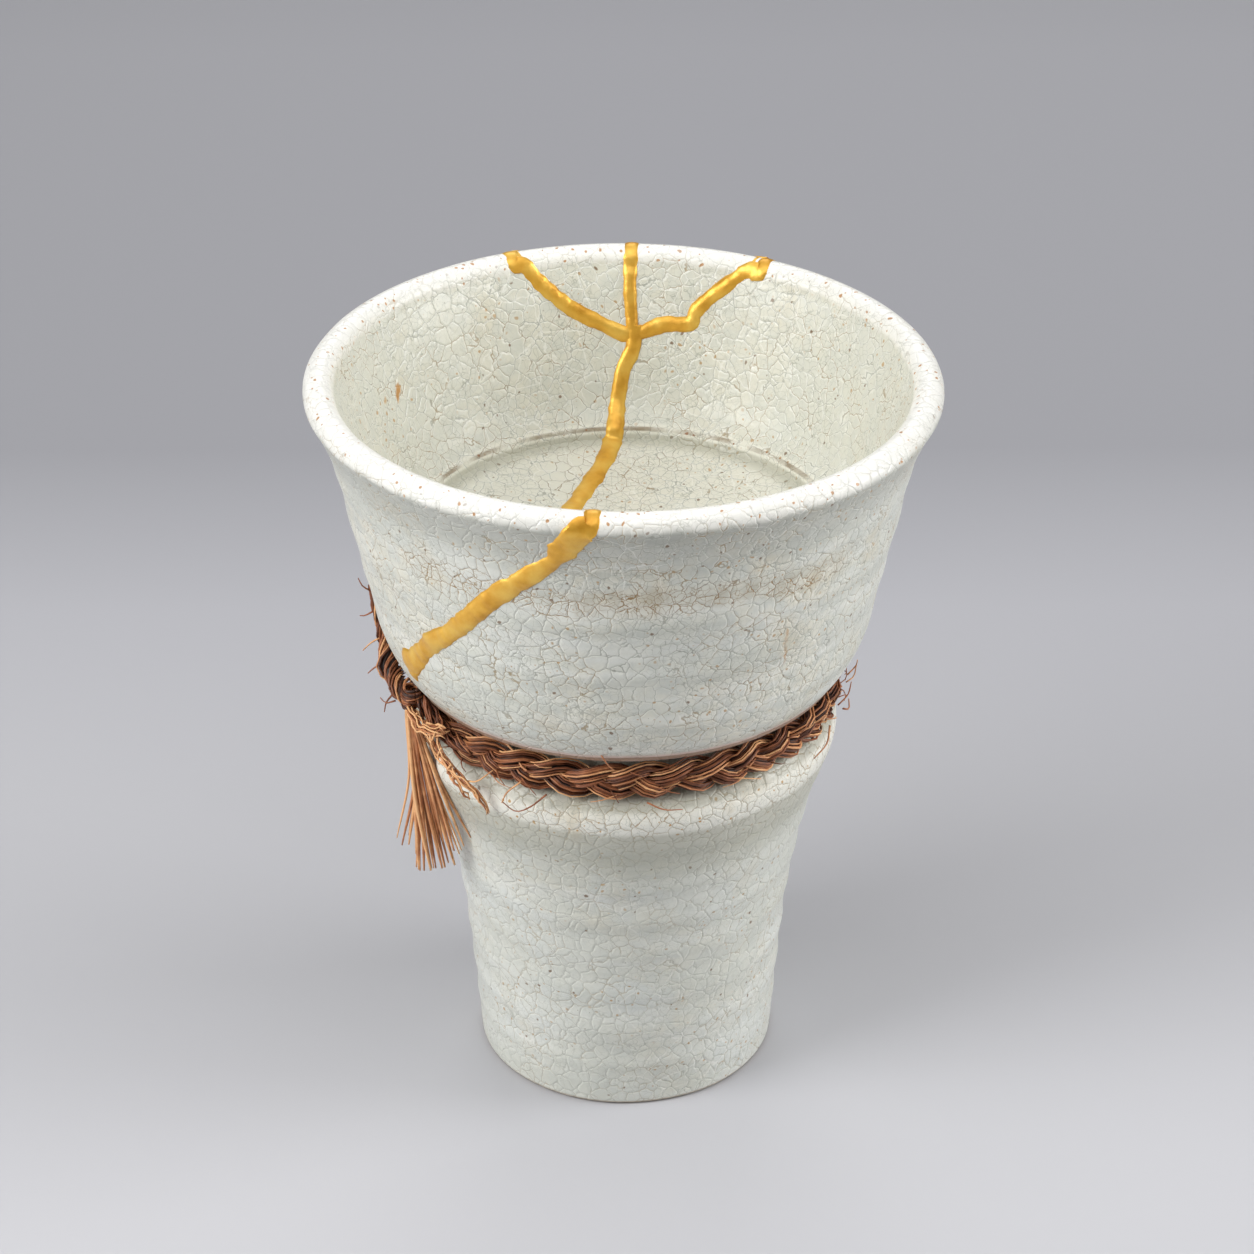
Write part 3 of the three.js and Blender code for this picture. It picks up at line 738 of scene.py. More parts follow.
# %% Layers of colour
# From the bottom up: the colour, its strength, and the patterns that it is kept to
GLAZE_GROUND = "#d5d6cb"
LAYERS = [
    ("#dcd9c9", 0.8, ["warm"]),
    ("#cbcec6", 0.8, ["cloudy"]),
    ("#dbe1e3", 0.6, ["cool", "low"]),
    ("#c6b48c", 0.3, ["ochre"]),
    # Partly glaze pooled in the ring hollows, partly painted light on the ridges and painted shade in the
    # hollows of the throwing rings
    ("#ebece6", 0.4, ["ridges", "outside"]),
    ("#b3b6ac", 0.35, ["hollows", "outside"]),
    # Painted shade: the inside of the bowl is greyed, darker than the same glaze outside
    ("#cdccbd", 0.45, ["inside", "bowl"]),
    ("#e6e4d6", 0.6, ["on floor", "bowl"]),
    # Painted shade: a darker band on the outer wall under the rim's overhang
    ("#9fa097", 0.55, ["shade under rim", "outside"]),
    # Painted light: the shoulder just below the groove, which faces up, is lightened
    ("#efece0", 0.8, ["above shoulder", "below groove"]),
    ("#b3a17a", 0.3, ["above band", "below band", "front", "outside", "right", "cloudy"]),
    ("#c3ad7f", 0.55, ["above shoulder", "below groove", "ochre"]),
    ("#eeece5", 0.6, ["rim"]),
    ("#ecece3", 0.3, ["coarse curl"]),
    ("#ecece4", 0.3, ["coarse curl", "inside"]),
    ("#8e9083", 0.4, ["coarse net"]),
    ("#7f8174", 0.5, ["coarse net", "deep"]),
    ("#97998b", 0.6, ["fine net", "fine areas"]),
    ("#a3834a", 0.5, ["coarse net", "tea"]),
    ("#94713c", 0.8, ["coarse net", "above band", "below band", "front", "outside"]),
    ("#9d7b42", 0.6, ["fine net", "above band", "below band", "front", "outside"]),
    ("#a9844a", 0.45, ["coarse net", "above shoulder", "below groove"]),
    ("#d0d2c9", 0.4, ["low", "outside"]),
    ("#f4f3ec", 0.4, ["raised net", "rare"]),
    ("#8a8778", 0.7, ["pits"]),
    ("#b08a50", 0.75, ["freckles", "freckled"]),
    ("#b98f4c", 0.8, ["freckles", "above shoulder", "below groove"]),
    ("#74593b", 0.85, ["iron"]),
    ("#b5802f", 0.75, ["streak in front", "cloudy"]),
    ("#b67d28", 0.9, ["streak inside"]),
    ("#b98c48", 0.6, ["second streak inside"]),
    ("#c69423", 0.9, ["drop by the rope"]),
    ("#c69423", 0.8, ["second drop by the rope"]),
    # Partly the pale clay where the glaze runs thin on the rim, partly painted light that whitens the rim
    # and its top
    ("#f3f1eb", 0.35, ["rim"]),
    ("#faf9f5", 0.45, ["lit rim top"]),
    ("#c9a26c", 0.6, ["freckles", "rim"]),
    ("#b07c4a", 0.75, ["rust", "rim"]),
    ("#dcc4b8", 0.75, ["above lip", "below lip"]),
    ("#8d6c52", 0.85, ["above lip line", "below lip line"]),
    # Partly glaze that runs thin and brown on the ledge's edge, partly painted shade that darkens its
    # step
    ("#8b7a60", 0.9, ["above ledge", "below ledge", "on floor", "deep"]),
    ("#8d5a33", 0.85, ["rust", "above ledge", "below ledge", "on floor"]),
    # Painted shade: the outer ring of the floor, just below the ledge's step, is darkened
    ("#a09f8c", 0.55, ["shade under ledge", "at floor", "on floor"]),
    ("#b7a993", 1, ["foot"]),
]
tone = hex_colour(GLAZE_GROUND)
for code, strength, kept_to in LAYERS:
    share = strength
    for name in kept_to:
        share = add_node(glaze, "ShaderNodeMath", {
            0: share, 1: pattern[name],
        }, "Value", operation="MULTIPLY")
    tone = add_node(glaze, "ShaderNodeMixRGB", {
        "Fac": share, "Color1": tone, "Color2": hex_colour(code),
    }, "Color")

# %% Glaze surface
# How far each pattern stands out, as a share of the relief. A bump reads its patterns three times,
# which is slow, so the finer net and the specks stay flat.
RELIEF = {"coarse net": -0.3, "coarse curl": -0.6, "grain": 0.8, "lumps": 2}
RELIEF_DEPTH = 0.13

relief = 0
for name, amount in RELIEF.items():
    relief = add_node(glaze, "ShaderNodeMath", {
        0: pattern[name], 1: amount, 2: relief,
    }, "Value", operation="MULTIPLY_ADD")
glaze_bump = add_node(glaze, "ShaderNodeBump", {
    "Height": relief, "Strength": 0.6, "Distance": RELIEF_DEPTH * MM,
}, "Normal")
glaze_roughness = add_node(glaze, "ShaderNodeMapRange", {
    "Value": pattern["middling"], "To Min": 0.24, "To Max": 0.42,
}, "Result")
fill(glaze_shader, {"Base Color": tone, "Roughness": glaze_roughness, "IOR": 1.5, "Normal": glaze_bump})

finished(cup_body, glaze, "cup_body")
for piece, name in zip(shards, ("rim_shard_left", "rim_shard_right")):
    piece.name = name + "_glazed"
    finished(piece, glaze, name)
cup_body.name = "cup_body_glazed"

# %% [markdown]
# ## The gold seams
#
# The mender fills the crack with lacquer, draws a raised line of lacquer along it on both faces,
# and dusts it with gold powder while it is tacky. The line is a low dome, and its width wavers with
# the brush. Each seam here is a section carried along the crack on the cup's own surface. The long
# one climbs the front, goes over the rim, crosses the floor and climbs the back.

# %% Places on the cup's surface
surface_outline = np.vstack([outside_outline, rim, inside_outline])
surface_direction = np.gradient(surface_outline, axis=0)
surface_normal = np.column_stack([surface_direction[:, 1], -surface_direction[:, 0]])
surface_normal /= np.linalg.norm(surface_normal, axis=1, keepdims=True)


def on_surface(place):
    """The nearest place on the cup's surface, and the way out of it."""
    radius = math.hypot(place[0], place[1])
    turn = math.degrees(math.atan2(place[0], -place[1]))
    start, end = surface_outline[:-1], surface_outline[1:]
    run = end - start
    share = np.clip(((np.array([radius, place[2]]) - start) * run).sum(1) / (run ** 2).sum(1), 0, 1)
    near = start + run * share[:, None]
    best = np.argmin(((near - (radius, place[2])) ** 2).sum(1))
    normal = surface_normal[best] * (1 - share[best]) + surface_normal[best + 1] * share[best]
    return around_cup(turn, *near[best]), around_cup(turn, *normal).normalized()


def wall_places(crack, width, outline, lowest, highest):
    """A crack's stations on one face of the wall, with the bead's width at each."""
    heights, radii = outline[:, 1], outline[:, 0]
    order = np.argsort(heights)
    return [
        (*around_cup(turn, np.interp(height_at(rise), heights[order], radii[order]), height_at(rise)),
         width * share)
        for turn, rise, share in crack if lowest <= rise <= highest
    ]


# How far up and over the rim's roll the stations are, in radians from straight out
RIM_ANGLES = (0.5, 1.2, 1.9, 2.6)


def rim_places(turn, width):
    """Stations that take a seam over the rim, from the outside to the inside."""
    places = []
    for angle in RIM_ANGLES:
        out, up = RIM_ROLL * math.cos(angle), RIM_ROLL * math.sin(angle)
        places.append((*around_cup(turn, ROLL_RADIUS + out, ROLL_HEIGHT + up), width))
    return places


# %% Seam beads
BEAD_HEIGHT = 0.5
BEAD_SUNK = 0.22
BEAD_STEP = 0.4
RIM_BEAD_HEIGHT = 0.2
# How much the width and the height waver, and over how many millimetres
WIDTH_WAVER = [(0.19, 3.1), (0.15, 1.1)]
HEIGHT_WAVER = [(0.3, 2.3), (0.22, 0.9)]
STRAY, STRAY_OVER = 0.16, 4.2
# Over how many steps a bead comes to its full width, and where it flattens to go over the rim
END_STEPS = 4
FLATTENS_FROM, FLATTENS_TO = ROLL_HEIGHT - 1.5, ROLL_HEIGHT + 1
# The shares of the wall where a seam starts inside, where the back crack branches and where a seam
# meets the rim
INSIDE_START, BRANCHING, AT_RIM = 0.46, 0.69, 0.98


def waver(travelled, seed, waves):
    """1, give or take a few waves of noise along the way."""
    return 1 + sum(
        amount * noise.noise(Vector((travelled / length, seed, length))) for amount, length in waves
    )


def seam(name, places, seed):
    """A low dome of gold along a route on the cup, with a wavering width."""
    route = smooth_route(places, BEAD_STEP)
    directions = np.gradient(route[:, :3], axis=0)
    stations = []
    for i, (x, y, z, width) in enumerate(route):
        place, out = on_surface((x, y, z))
        along = Vector(directions[i])
        along = (along - out * along.dot(out)).normalized()
        side = along.cross(out)
        travelled = i * BEAD_STEP
        stray = STRAY * (waver(travelled, seed, [(1, STRAY_OVER)]) - 1)
        end = min(i, len(route) - 1 - i)
        taper = math.sqrt(min((end + 0.4) / END_STEPS, 1))
        dome = np.interp(place.z, [FLATTENS_FROM, FLATTENS_TO], [BEAD_HEIGHT, RIM_BEAD_HEIGHT])
        dome *= waver(travelled, seed, HEIGHT_WAVER)
        half_width = width / 2 * waver(travelled, seed, WIDTH_WAVER) * taper
        place = thrown(place) - out * BEAD_SUNK + side * stray
        stations.append(station(place, side, out, along, half_width, (dome + BEAD_SUNK) * taper))
    return swept(name, stations)


def on_floor(x, y, width=BEAD_FLOOR):
    """A station on the floor of the bowl, from shares of the ledge's radius."""
    radius = math.hypot(x, y) * LEDGE_RADIUS
    height = floor_edge[1] - FLOOR_DISH * (1 - (radius / floor_edge[0]) ** 2)
    return (x * LEDGE_RADIUS, y * LEDGE_RADIUS, height, width)


def both_faces(crack, width):
    """A seam up the inside of the wall, over the rim and down the outside."""
    inside = wall_places(crack, width, inside_outline, INSIDE_START, AT_RIM)[::-1]
    outside = wall_places(crack, width, outside_outline, 0, AT_RIM)
    return inside + rim_places(crack[0][0], width)[::-1] + outside


front_outside = wall_places(FRONT_CRACK, BEAD_FRONT, outside_outline, 0, AT_RIM)[::-1]
front_inside = wall_places(FRONT_CRACK, BEAD_INSIDE, inside_outline, INSIDE_START, AT_RIM)
tip = wall_places(SEAM_TIP, BEAD_FRONT, outside_outline, 0, 1)
long_route = (
    tip + front_outside + rim_places(FRONT_CRACK[0][0], BEAD_INSIDE) + front_inside
    + [on_floor(x, y) for x, y in FLOOR_CRACK[::-1]]
    + wall_places(BACK_CRACK, BEAD_INSIDE, inside_outline, INSIDE_START, 1)[::-1]
    + both_faces(MIDDLE_CRACK, BEAD_INSIDE)
    + wall_places(BACK_CRACK, BEAD_INSIDE, outside_outline, 0, BRANCHING)
)
gold_seam = seam("gold_seam_raised", long_route, 1)
for seed, crack in enumerate((LEFT_CRACK, RIGHT_CRACK), 2):
    combine(gold_seam, seam("branch", both_faces(crack, BEAD_INSIDE), seed), "UNION")
combine(gold_seam, web, "UNION")

# %% [markdown]
# ## Gold powder on lacquer
#
# Fine gold powder, burnished but not polished, gives a satin metal: it mirrors nothing sharply, and
# the brush leaves faint ripples across the line. The colour is a warm mustard yellow where the
# powder lies thick, and browner where the lacquer shows through.

# %% Gold
GOLD_PATCH, GOLD_GRAIN, GOLD_RIPPLE = 3.5, 0.6, 0.1

gold, gold_shader = new_material("gold powder on lacquer")
gold_place = add_node(gold, "ShaderNodeTexCoord", {}, "Object")
gold_patches, gold_grain = [
    add_node(gold, "ShaderNodeTexNoise", {
        "Vector": gold_place, "Scale": cells_of(size), "Detail": 4,
    }, "Fac")
    for size in (GOLD_PATCH, GOLD_GRAIN)
]
gold_tone = add_node(gold, "ShaderNodeValToRGB", {"Fac": gold_patches}, "Color")
set_ramp(gold_tone, [(0.32, "#d0962d"), (0.46, "#e2aa3c"), (0.7, "#f0c358")])
gold_roughness = add_node(gold, "ShaderNodeMapRange", {
    "Value": gold_grain, "To Min": 0.24, "To Max": 0.46,
}, "Result")
gold_bump = add_node(gold, "ShaderNodeBump", {
    "Height": gold_grain, "Strength": 0.55, "Distance": GOLD_RIPPLE * MM,
}, "Normal")
fill(gold_shader, {
    "Base Color": gold_tone, "Metallic": 0.42, "Roughness": gold_roughness, "Normal": gold_bump,
})
finished(gold_seam, gold, "gold_seam", crease=60)

# %% [markdown]
# ## Palm fibres
#
# Palm rope is made from the coarse brown fibres of the leaf sheath. Each fibre here is a thin tube
# on its own route, because what makes such a rope look real is that single fibres catch the light,
# part and stray. A bundle is laid out along a route: each fibre keeps its place across the bundle,
# winds slowly round the others and wanders a little. The curve object turns the routes to tubes.

# %% Helpers for fibres
GOLDEN_ANGLE = math.pi * (3 - math.sqrt(5))
# Painted shade: the share of its tone that the innermost fibre of a bundle keeps, so fibres deep in a
# bundle are darker
INNER_SHADE_TONE = 0.3
# How far out the fibres lie in a bundle, how often they sway, and how unevenly they wind
FIBRE_REACH, SWAYS, WINDING = 0.45, (1.5, 6), (0.85, 1.15)
# How much of its thickness a fibre keeps at its very end, and how soon it is full
END_THICKNESS, END_TAPER = 0.35, 30


def bundle(path, thickness, count, turns, seed, fibre, tone, wander=0.16, flat=1):
    """Fibres that run together along a path, in a round or flat bundle of this thickness."""
    draw = random.Random(seed)
    along, sides, ups = frames_along(path, np.array((0, 0, 1.0)))
    share = np.linspace(0, 1, len(path))
    fibres = []
    for i in range(count):
        reach = FIBRE_REACH * math.sqrt((i + 0.6) / count)
        angle = i * GOLDEN_ANGLE + draw.uniform(-0.4, 0.4)
        waves = [(draw.uniform(*SWAYS), draw.uniform(0, 2 * math.pi)) for _ in range(4)]
        sway = wander * sum(np.sin(rate * 2 * math.pi * share + start) for rate, start in waves[:2])
        drift = wander * sum(np.sin(rate * 2 * math.pi * share + start) for rate, start in waves[2:])
        winding = angle + 2 * math.pi * turns * draw.uniform(*WINDING) * share
        across = reach * thickness * flat * np.cos(winding) + sway
        over = reach * thickness / flat * np.sin(winding) + drift
        route = path + sides * across[:, None] + ups * over[:, None]
        ends = np.clip(np.minimum(share, 1 - share) * END_TAPER + END_THICKNESS, 0, 1)
        # Painted shade: the fibres nearer the middle of a bundle are darker
        inner_shade = INNER_SHADE_TONE + (1 - INNER_SHADE_TONE) * (i + 1) / count
        fibres.append((route, draw.uniform(*fibre) / 2 * ends, draw.uniform(*tone) * inner_shade))
    return fibres


# How far a binding ring may tilt, in millimetres
RING_TILT = 0.45


def ring_fibres(centre, across, out, count, seed, reaches, spread, fibre, tone):
    """Fibres that bind a bundle: each is a tilted ring of its own reach and height."""
    draw = random.Random(seed)
    fibres = []
    for _ in range(count):
        reach, lift = draw.uniform(*reaches), draw.uniform(-spread, spread)
        tilt = draw.uniform(-RING_TILT, RING_TILT)
        ring = [
            centre + across * reach * math.cos(angle) + out * 0.9 * reach * math.sin(angle)
            + Vector((0, 0, lift + tilt * math.cos(angle + 0.6)))
            for angle in np.linspace(0, 2 * math.pi, 25)
        ]
        fibres.append((np.array(ring), np.full(len(ring), draw.uniform(*fibre) / 2), draw.uniform(*tone)))
    return fibres


def fibre_piece(name, fibres):
    """One mesh of closed tubes, with each fibre's tone kept as an attribute."""
    curve = bpy.data.curves.new(name, "CURVE")
    curve.dimensions = "3D"
    curve.bevel_depth = 1
    curve.bevel_resolution = 0
    for route, radii, _ in fibres:
        spline = curve.splines.new("POLY")
        spline.points.add(len(route) - 1)
        spline.points.foreach_set("co", np.column_stack([route, np.ones(len(route))]).ravel())
        spline.points.foreach_set("radius", np.asarray(radii, float))
    source = bpy.data.objects.new(name, curve)
    bpy.context.scene.collection.objects.link(source)
    mesh = bpy.data.meshes.new_from_object(source.evaluated_get(bpy.context.evaluated_depsgraph_get()))
    bpy.data.objects.remove(source)
    sides = len(mesh.vertices) // sum(len(route) for route, _, _ in fibres)
    tones = np.concatenate([np.full(len(route) * sides, tone) for route, _, tone in fibres])
    mesh.attributes.new("tone", "FLOAT", "POINT").data.foreach_set("value", tones)
    form = bmesh.new()
    form.from_mesh(mesh)
    bmesh.ops.holes_fill(form, edges=[edge for edge in form.edges if edge.is_boundary])
    bmesh.ops.recalc_face_normals(form, faces=form.faces)
    print(name, len(fibres), "fibres of", sides, "sides")
    return new_piece(name, form)


def along_cup(stations, step=0.8):
    """A smooth path through stations of turn, radius and height round the cup."""
    return smooth_route([around_cup(*place) for place in stations], step)


def spread_along(values, path):
    """Values spread evenly along a path."""
    return np.interp(np.linspace(0, 1, len(path)), np.linspace(0, 1, len(values)), values)


# %% [markdown]
# ## The plait round the waist
#
# Three strands cross from side to side in turn, each diving under the next. The plait lies in the
# groove and thins out where it runs into the knot. Each strand is a loose bundle of fibres round a
# dark core of painted shade, which keeps light from shining through and shows in the gaps as the
# shade between the fibres.

# %% Plait
ROPE_CLEARANCE = 0.35
PLAIT_WIDTH, PLAIT_DEPTH, STRAND = 5.2, 4.2, 2.3
PLAIT_REPEATS = 11
ROPE_RADIUS = GROOVE_RADIUS + ROPE_CLEARANCE + PLAIT_DEPTH / 2
ROPE_HEIGHT = GROOVE_BOTTOM + ROPE_CLEARANCE + PLAIT_WIDTH / 2
KNOT_TURN = -69
STRAND_FIBRES, STRAND_TURNS, STRAND_FLATNESS = 40, 1.5, 1.25
SHARPNESS = 0.95
PLAIT_STEPS = 150
NARROW_REACH = 26
NARROWEST = 0.5
KNOT_RISE = 0.6
STRAND_FIBRE = (0.16, 0.36)
LOOSENESS, SHADE_CORE_SHARE = 1.12, 0.24
# Over how many degrees a strand works loose and tight again, and how much its phase slips by that
LOOSE_OVER, PHASE_SLIP = 19, 0.6

rope_fibres = []
for strand in range(3):
    places, sizes = [], []
    for turn in np.linspace(0, 360, PLAIT_STEPS + 1):
        from_knot = min(min(turn, 360 - turn) / NARROW_REACH, 1)
        size = NARROWEST + (1 - NARROWEST) * from_knot
        loose = noise.noise(Vector((turn / LOOSE_OVER, strand, 3)))
        phase = math.radians(turn) * PLAIT_REPEATS + 2 * math.pi * strand / 3 + PHASE_SLIP * loose
        lean = math.asin(SHARPNESS * math.sin(phase)) / math.asin(SHARPNESS)
        sideways = (PLAIT_WIDTH - STRAND) / 2 * lean * size * (1 + 0.25 * loose)
        in_out = (PLAIT_DEPTH - STRAND) / 2 * math.sin(2 * phase) * size
        rise = KNOT_RISE * (1 - from_knot)
        places.append(around_cup(KNOT_TURN + turn, ROPE_RADIUS + in_out, ROPE_HEIGHT + sideways + rise))
        sizes.append(STRAND * size)
    path, sizes = np.array(places), np.array(sizes)
    rope_fibres += bundle(
        path, sizes * LOOSENESS, STRAND_FIBRES, STRAND_TURNS, seed=10 + strand, fibre=STRAND_FIBRE,
        tone=(0.12, 1.05), wander=0.14, flat=STRAND_FLATNESS,
    )
    # A dark core of painted shade, which shows in the gaps between the fibres
    rope_fibres.append((path, SHADE_CORE_SHARE * sizes, 0))
print("rope", round(2 * math.pi * ROPE_RADIUS), "mm round the groove")

# %% [markdown]
# ## The knot, the tail and the tassel
#
# At the left front the rope is tied. A short end climbs the wall as a twisted tail, in two lobes
# that thin out to a few wisps, and the other end is cut to a tassel of straight stiff fibres, bound
# at its root. A paler, flattened strip of sheath, still net-like, joins the knot to the plait.

# %% Knot and tail
KNOT_CENTRE = around_cup(-65, 34.4, 69.2)
knot_out = Vector((KNOT_CENTRE.x, KNOT_CENTRE.y, 0)).normalized()
knot_side = Vector((-knot_out.y, knot_out.x, 0))

TAIL_STATIONS = [
    (-66, 34.4, 67.6), (-70, 34.9, 68.4), (-75, 35.2, 68.8), (-80, 35.5, 70), (-83, 36, 72.6),
    (-84, 36.9, 76.6), (-84.5, 37.7, 81.4),
]
TAIL_THICKNESS = [2.8, 3.7, 3, 4, 2.4, 1.6, 1, 0.6, 0.4]
TAIL_TURNS, TAIL_OFFSET = 2.8, 0.27
KNOT_FIBRE = (0.22, 0.42)
tail_path = along_cup(TAIL_STATIONS)
tail_sizes = spread_along(TAIL_THICKNESS, tail_path)
_, tail_sides, tail_ups = frames_along(tail_path, np.array((0, 0, 1.0)))
for strand in range(3):
    angle = (2 * math.pi * (strand / 3 + np.linspace(0, TAIL_TURNS, len(tail_path))))[:, None]
    offset = TAIL_OFFSET * tail_sizes[:, None]
    strand_path = tail_path + tail_sides * offset * np.cos(angle) + tail_ups * offset * np.sin(angle)
    rope_fibres += bundle(
        strand_path, tail_sizes * 0.6, count=14, turns=1.4, seed=30 + strand, fibre=KNOT_FIBRE,
        tone=(0.15, 1), wander=0.07,
    )
    # A dark core of painted shade, which shows in the gaps between the fibres
    rope_fibres.append((strand_path, 0.13 * tail_sizes, 0))

NECK_STATIONS = [
    (-64, 33.6, 68.8), (-61, 33.2, 67.4), (-56.5, 32.8, 66), (-50, 32.3, 64.9), (-43, 32, 64.4),
]
neck_path = along_cup(NECK_STATIONS)
neck_sizes = spread_along([2.6, 2.8, 2.8, 2.6, 1.6], neck_path)
rope_fibres += bundle(
    neck_path, neck_sizes, count=30, turns=0.8, seed=44, fibre=KNOT_FIBRE, tone=(0.05, 0.75), wander=0.1,
)
rope_fibres += ring_fibres(
    KNOT_CENTRE, knot_side, knot_out, count=20, seed=41, reaches=(1.2, 1.75), spread=1.1,
    fibre=(0.28, 0.5), tone=(0.1, 0.75),
)

# %% Tassel
TASSEL_FIBRES = 30
TASSEL_ROOT = KNOT_CENTRE + 0.5 * knot_out + Vector((0, 0, -1.7))
TASSEL_LEFT, TASSEL_RIGHT = Vector((-33.6, -11.6, 0)), Vector((-23.4, -17.4, 0))
LEFT_HOLLOW = 1.5
# How low the fan's ends hang, from left to right
TASSEL_ENDS = [43, 37.4, 37.2, 38, 38.6, 39.6, 43, 46.6]
draw = random.Random(52)
for i in range(TASSEL_FIBRES):
    share = (i + 0.5) / TASSEL_FIBRES
    end = TASSEL_LEFT.lerp(TASSEL_RIGHT, share) + knot_out * draw.uniform(-1.2, 1.2)
    end.z = np.interp(share * 7, range(8), TASSEL_ENDS) + draw.choice((0, 0, 1)) * draw.uniform(0, 5)
    root = TASSEL_ROOT + knot_side * draw.uniform(-0.7, 0.7) + knot_out * draw.uniform(-0.7, 0.7)
    top = root + Vector((0, 0, 1.2))
    neck = TASSEL_ROOT.lerp(root, 0.7).lerp(end, 0.09)
    bulge = root.lerp(end, 0.55) + knot_out * draw.uniform(-0.2, 0.6)
    bulge += knot_side * draw.uniform(-0.5, 0.5)
    bulge.x += np.interp(share, [0, 0.4], [LEFT_HOLLOW, 0])
    route = smooth_route([top, neck, bulge, end], 0.8)
    radii = draw.uniform(0.19, 0.38) * spread_along([0.8, 1, 1, 1, 1, 0.9, 0.45], route)
    rope_fibres.append((route, radii, draw.uniform(0.62, 1.12)))
rope_fibres += ring_fibres(
    TASSEL_ROOT, knot_side, knot_out, count=9, seed=53, reaches=(0.95, 1.15), spread=0.5,
    fibre=(0.24, 0.36), tone=(0.1, 0.5),
)

# %% Pale strip of sheath
STRIP_STATIONS = [(-66, 35.2, 67.4), (-62, 35.1, 66.8), (-58, 35, 66), (-54, 34.6, 66.4), (-50, 34, 67)]
SPLIT_STATIONS = [
    (-54, 34.6, 66), (-51.5, 34.8, 63.8), (-47.5, 34.6, 62.2), (-42.5, 34.4, 60.8), (-39.4, 34, 59.4),
    (-36.8, 33.2, 56),
]
FORK_STATIONS = [(-50, 34.6, 63), (-46.5, 34.9, 61), (-43.8, 34.7, 59.4), (-42, 33.9, 57.6)]
STRIP_BARS = [(-61, 67.6, 65.4), (-56.5, 67, 65), (-53, 66.6, 63.4), (-50.5, 64.8, 62.2), (-47, 63, 61)]
strip_path, split_path, fork_path = map(along_cup, (STRIP_STATIONS, SPLIT_STATIONS, FORK_STATIONS))
for path, sizes, count, seed in (
    (strip_path, [1.6, 2.4, 1.8], 10, 60), (split_path, [2, 1.5, 1.2, 0.6], 7, 61),
    (fork_path, [0.9, 0.5], 3, 62),
):
    rope_fibres += bundle(
        path, spread_along(sizes, path), count, turns=0.2, seed=seed, fibre=(0.26, 0.5), tone=(1.1, 1.7),
    )
for turn, top, bottom in STRIP_BARS:
    bar = [(turn + 1, 35, top), (turn, 35.2, (top + bottom) / 2), (turn - 0.6, 35, bottom)]
    bar = along_cup(bar, 0.5)
    rope_fibres.append((bar, np.full(len(bar), 0.17), 1.15))

# %% Stray hairs
# Each hair seen in the photograph, by its stations of turn, radius and height
HAIRS = [
    [(5.4, 33.4, 62), (9.5, 33.9, 60.9), (14.4, 33.2, 60.1)],
    [(-5.8, 33.6, 70.2), (-4, 34, 68.7), (-2.7, 33.4, 67.6)],
    [(-20, 33, 62), (-23.6, 33.9, 60), (-27.6, 34, 58.6), (-32.1, 33.4, 59)],
    [(-42, 34.2, 60.8), (-38, 34.6, 62), (-34.3, 33.8, 64.2)],
    [(-26.8, 33.2, 63.3), (-30, 34, 61.4), (-32.1, 33.6, 59)],
    [(-82.5, 36.6, 73), (-83.5, 38, 71.8), (-84, 39.2, 70.4)],
    [(-80, 36.8, 69.4), (-80.5, 37.8, 68.6), (-81, 38.7, 67.6)],
    [(-84, 37.4, 77), (-85, 38.6, 76), (-85.5, 39.4, 75.8)],
    [(-72, 36, 67), (-73, 36.9, 65.4), (-73.5, 37.2, 63.6)],
    [(-70, 36, 66.6), (-71.5, 37.2, 65.9), (-73, 37.8, 66.4)],
    [(-84, 37.8, 80.6), (-84.5, 38.8, 81.2), (-85, 39.4, 82.4)],
    [(64.7, 33.5, 63.2), (61, 34, 61.4), (56, 33.5, 60.2)],
    [(76.7, 33.5, 62.1), (79, 34.2, 61.4), (81, 34, 62.4)],
    [(80, 33.6, 65.6), (82, 34.6, 66), (83, 34.9, 67.6)],
    [(84, 33.6, 65.5), (86, 34.8, 66.4), (85, 35, 67.8)],
    [(70, 33.6, 65), (73, 34.6, 66), (77, 34.6, 66.8)],
]
LOOSE_HAIRS = 80
draw = random.Random(71)
for stations in HAIRS:
    route = along_cup(stations, 0.6)
    rope_fibres.append((route, np.linspace(0.16, 0.08, len(route)), draw.uniform(0.45, 0.95)))
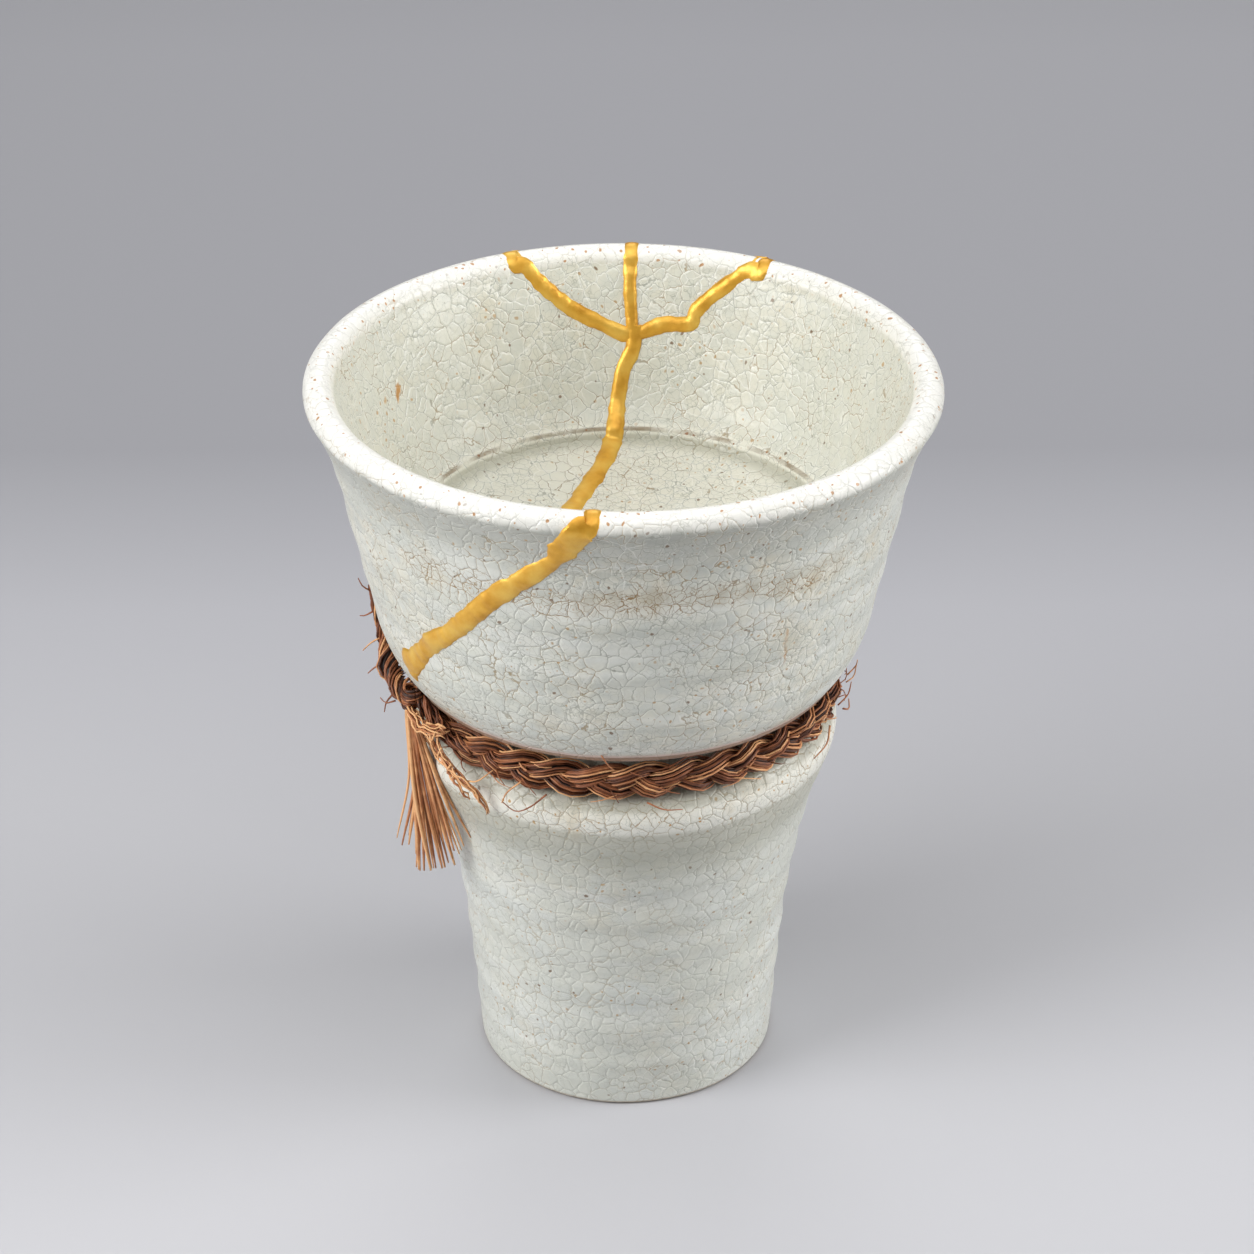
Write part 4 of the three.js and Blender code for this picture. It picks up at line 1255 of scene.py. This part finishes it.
for _ in range(LOOSE_HAIRS):
    turn, sign = draw.uniform(-180, 180), draw.choice((-1, 1))
    swing = draw.choice((-1, 1)) * draw.uniform(2, 8)
    start = ROPE_HEIGHT + sign * draw.uniform(0.2, 2.2)
    end = min(start + sign * draw.uniform(0.4, 2), GROOVE_TOP - 1)
    route = along_cup([
        (turn, ROPE_RADIUS + 1.4, start), (turn + 0.5 * swing, ROPE_RADIUS + 2.4, start + 0.3 * sign),
        (turn + swing, ROPE_RADIUS + 2.3, end),
    ], 0.7)
    rope_fibres.append((route, np.linspace(0.12, 0.06, len(route)), draw.uniform(0.2, 1)))
rope = fibre_piece("palm_rope_fibres", rope_fibres)

# %% [markdown]
# ## Palm fibre
#
# The raw fibre is a hard reddish brown strand with a slight natural gloss, darker where it has
# weathered and paler at the core. It is never dyed, so each fibre has its own shade: the shade is
# read from the attribute that was stored with each fibre, and fine streaks break it up. The same
# attribute also carries painted shade: the inner fibres of each bundle and the dark cores of the
# strands are darker, to stand for the shade between the fibres.

# %% Fibre material
STREAK, STREAK_DEPTH = 1.6, 0.1

palm, palm_shader = new_material("raw palm fibre")
palm_place = add_node(palm, "ShaderNodeTexCoord", {}, "Object")
palm_shade = add_node(palm, "ShaderNodeAttribute", {}, "Fac", attribute_name="tone")
palm_streaks = add_node(palm, "ShaderNodeTexNoise", {
    "Vector": palm_place, "Scale": cells_of(STREAK), "Detail": 3,
}, "Fac")
palm_change = add_node(palm, "ShaderNodeMath", {0: palm_streaks, 1: 0.5}, "Value", operation="SUBTRACT")
palm_shade = add_node(palm, "ShaderNodeMath", {
    0: palm_change, 1: 0.6, 2: palm_shade,
}, "Value", operation="MULTIPLY_ADD")
palm_tone = add_node(palm, "ShaderNodeValToRGB", {"Fac": palm_shade}, "Color")
set_ramp(palm_tone, [
    (0, "#26120a"), (0.25, "#5f331c"), (0.55, "#9c5e3a"), (0.8, "#c88a5c"), (1, "#ebb57f"),
])
palm_bump = add_node(palm, "ShaderNodeBump", {
    "Height": palm_streaks, "Strength": 0.4, "Distance": STREAK_DEPTH * MM,
}, "Normal")
fill(palm_shader, {"Base Color": palm_tone, "Roughness": 0.5, "IOR": 1.48, "Normal": palm_bump})
finished(rope, palm, "palm_rope", crease=100)
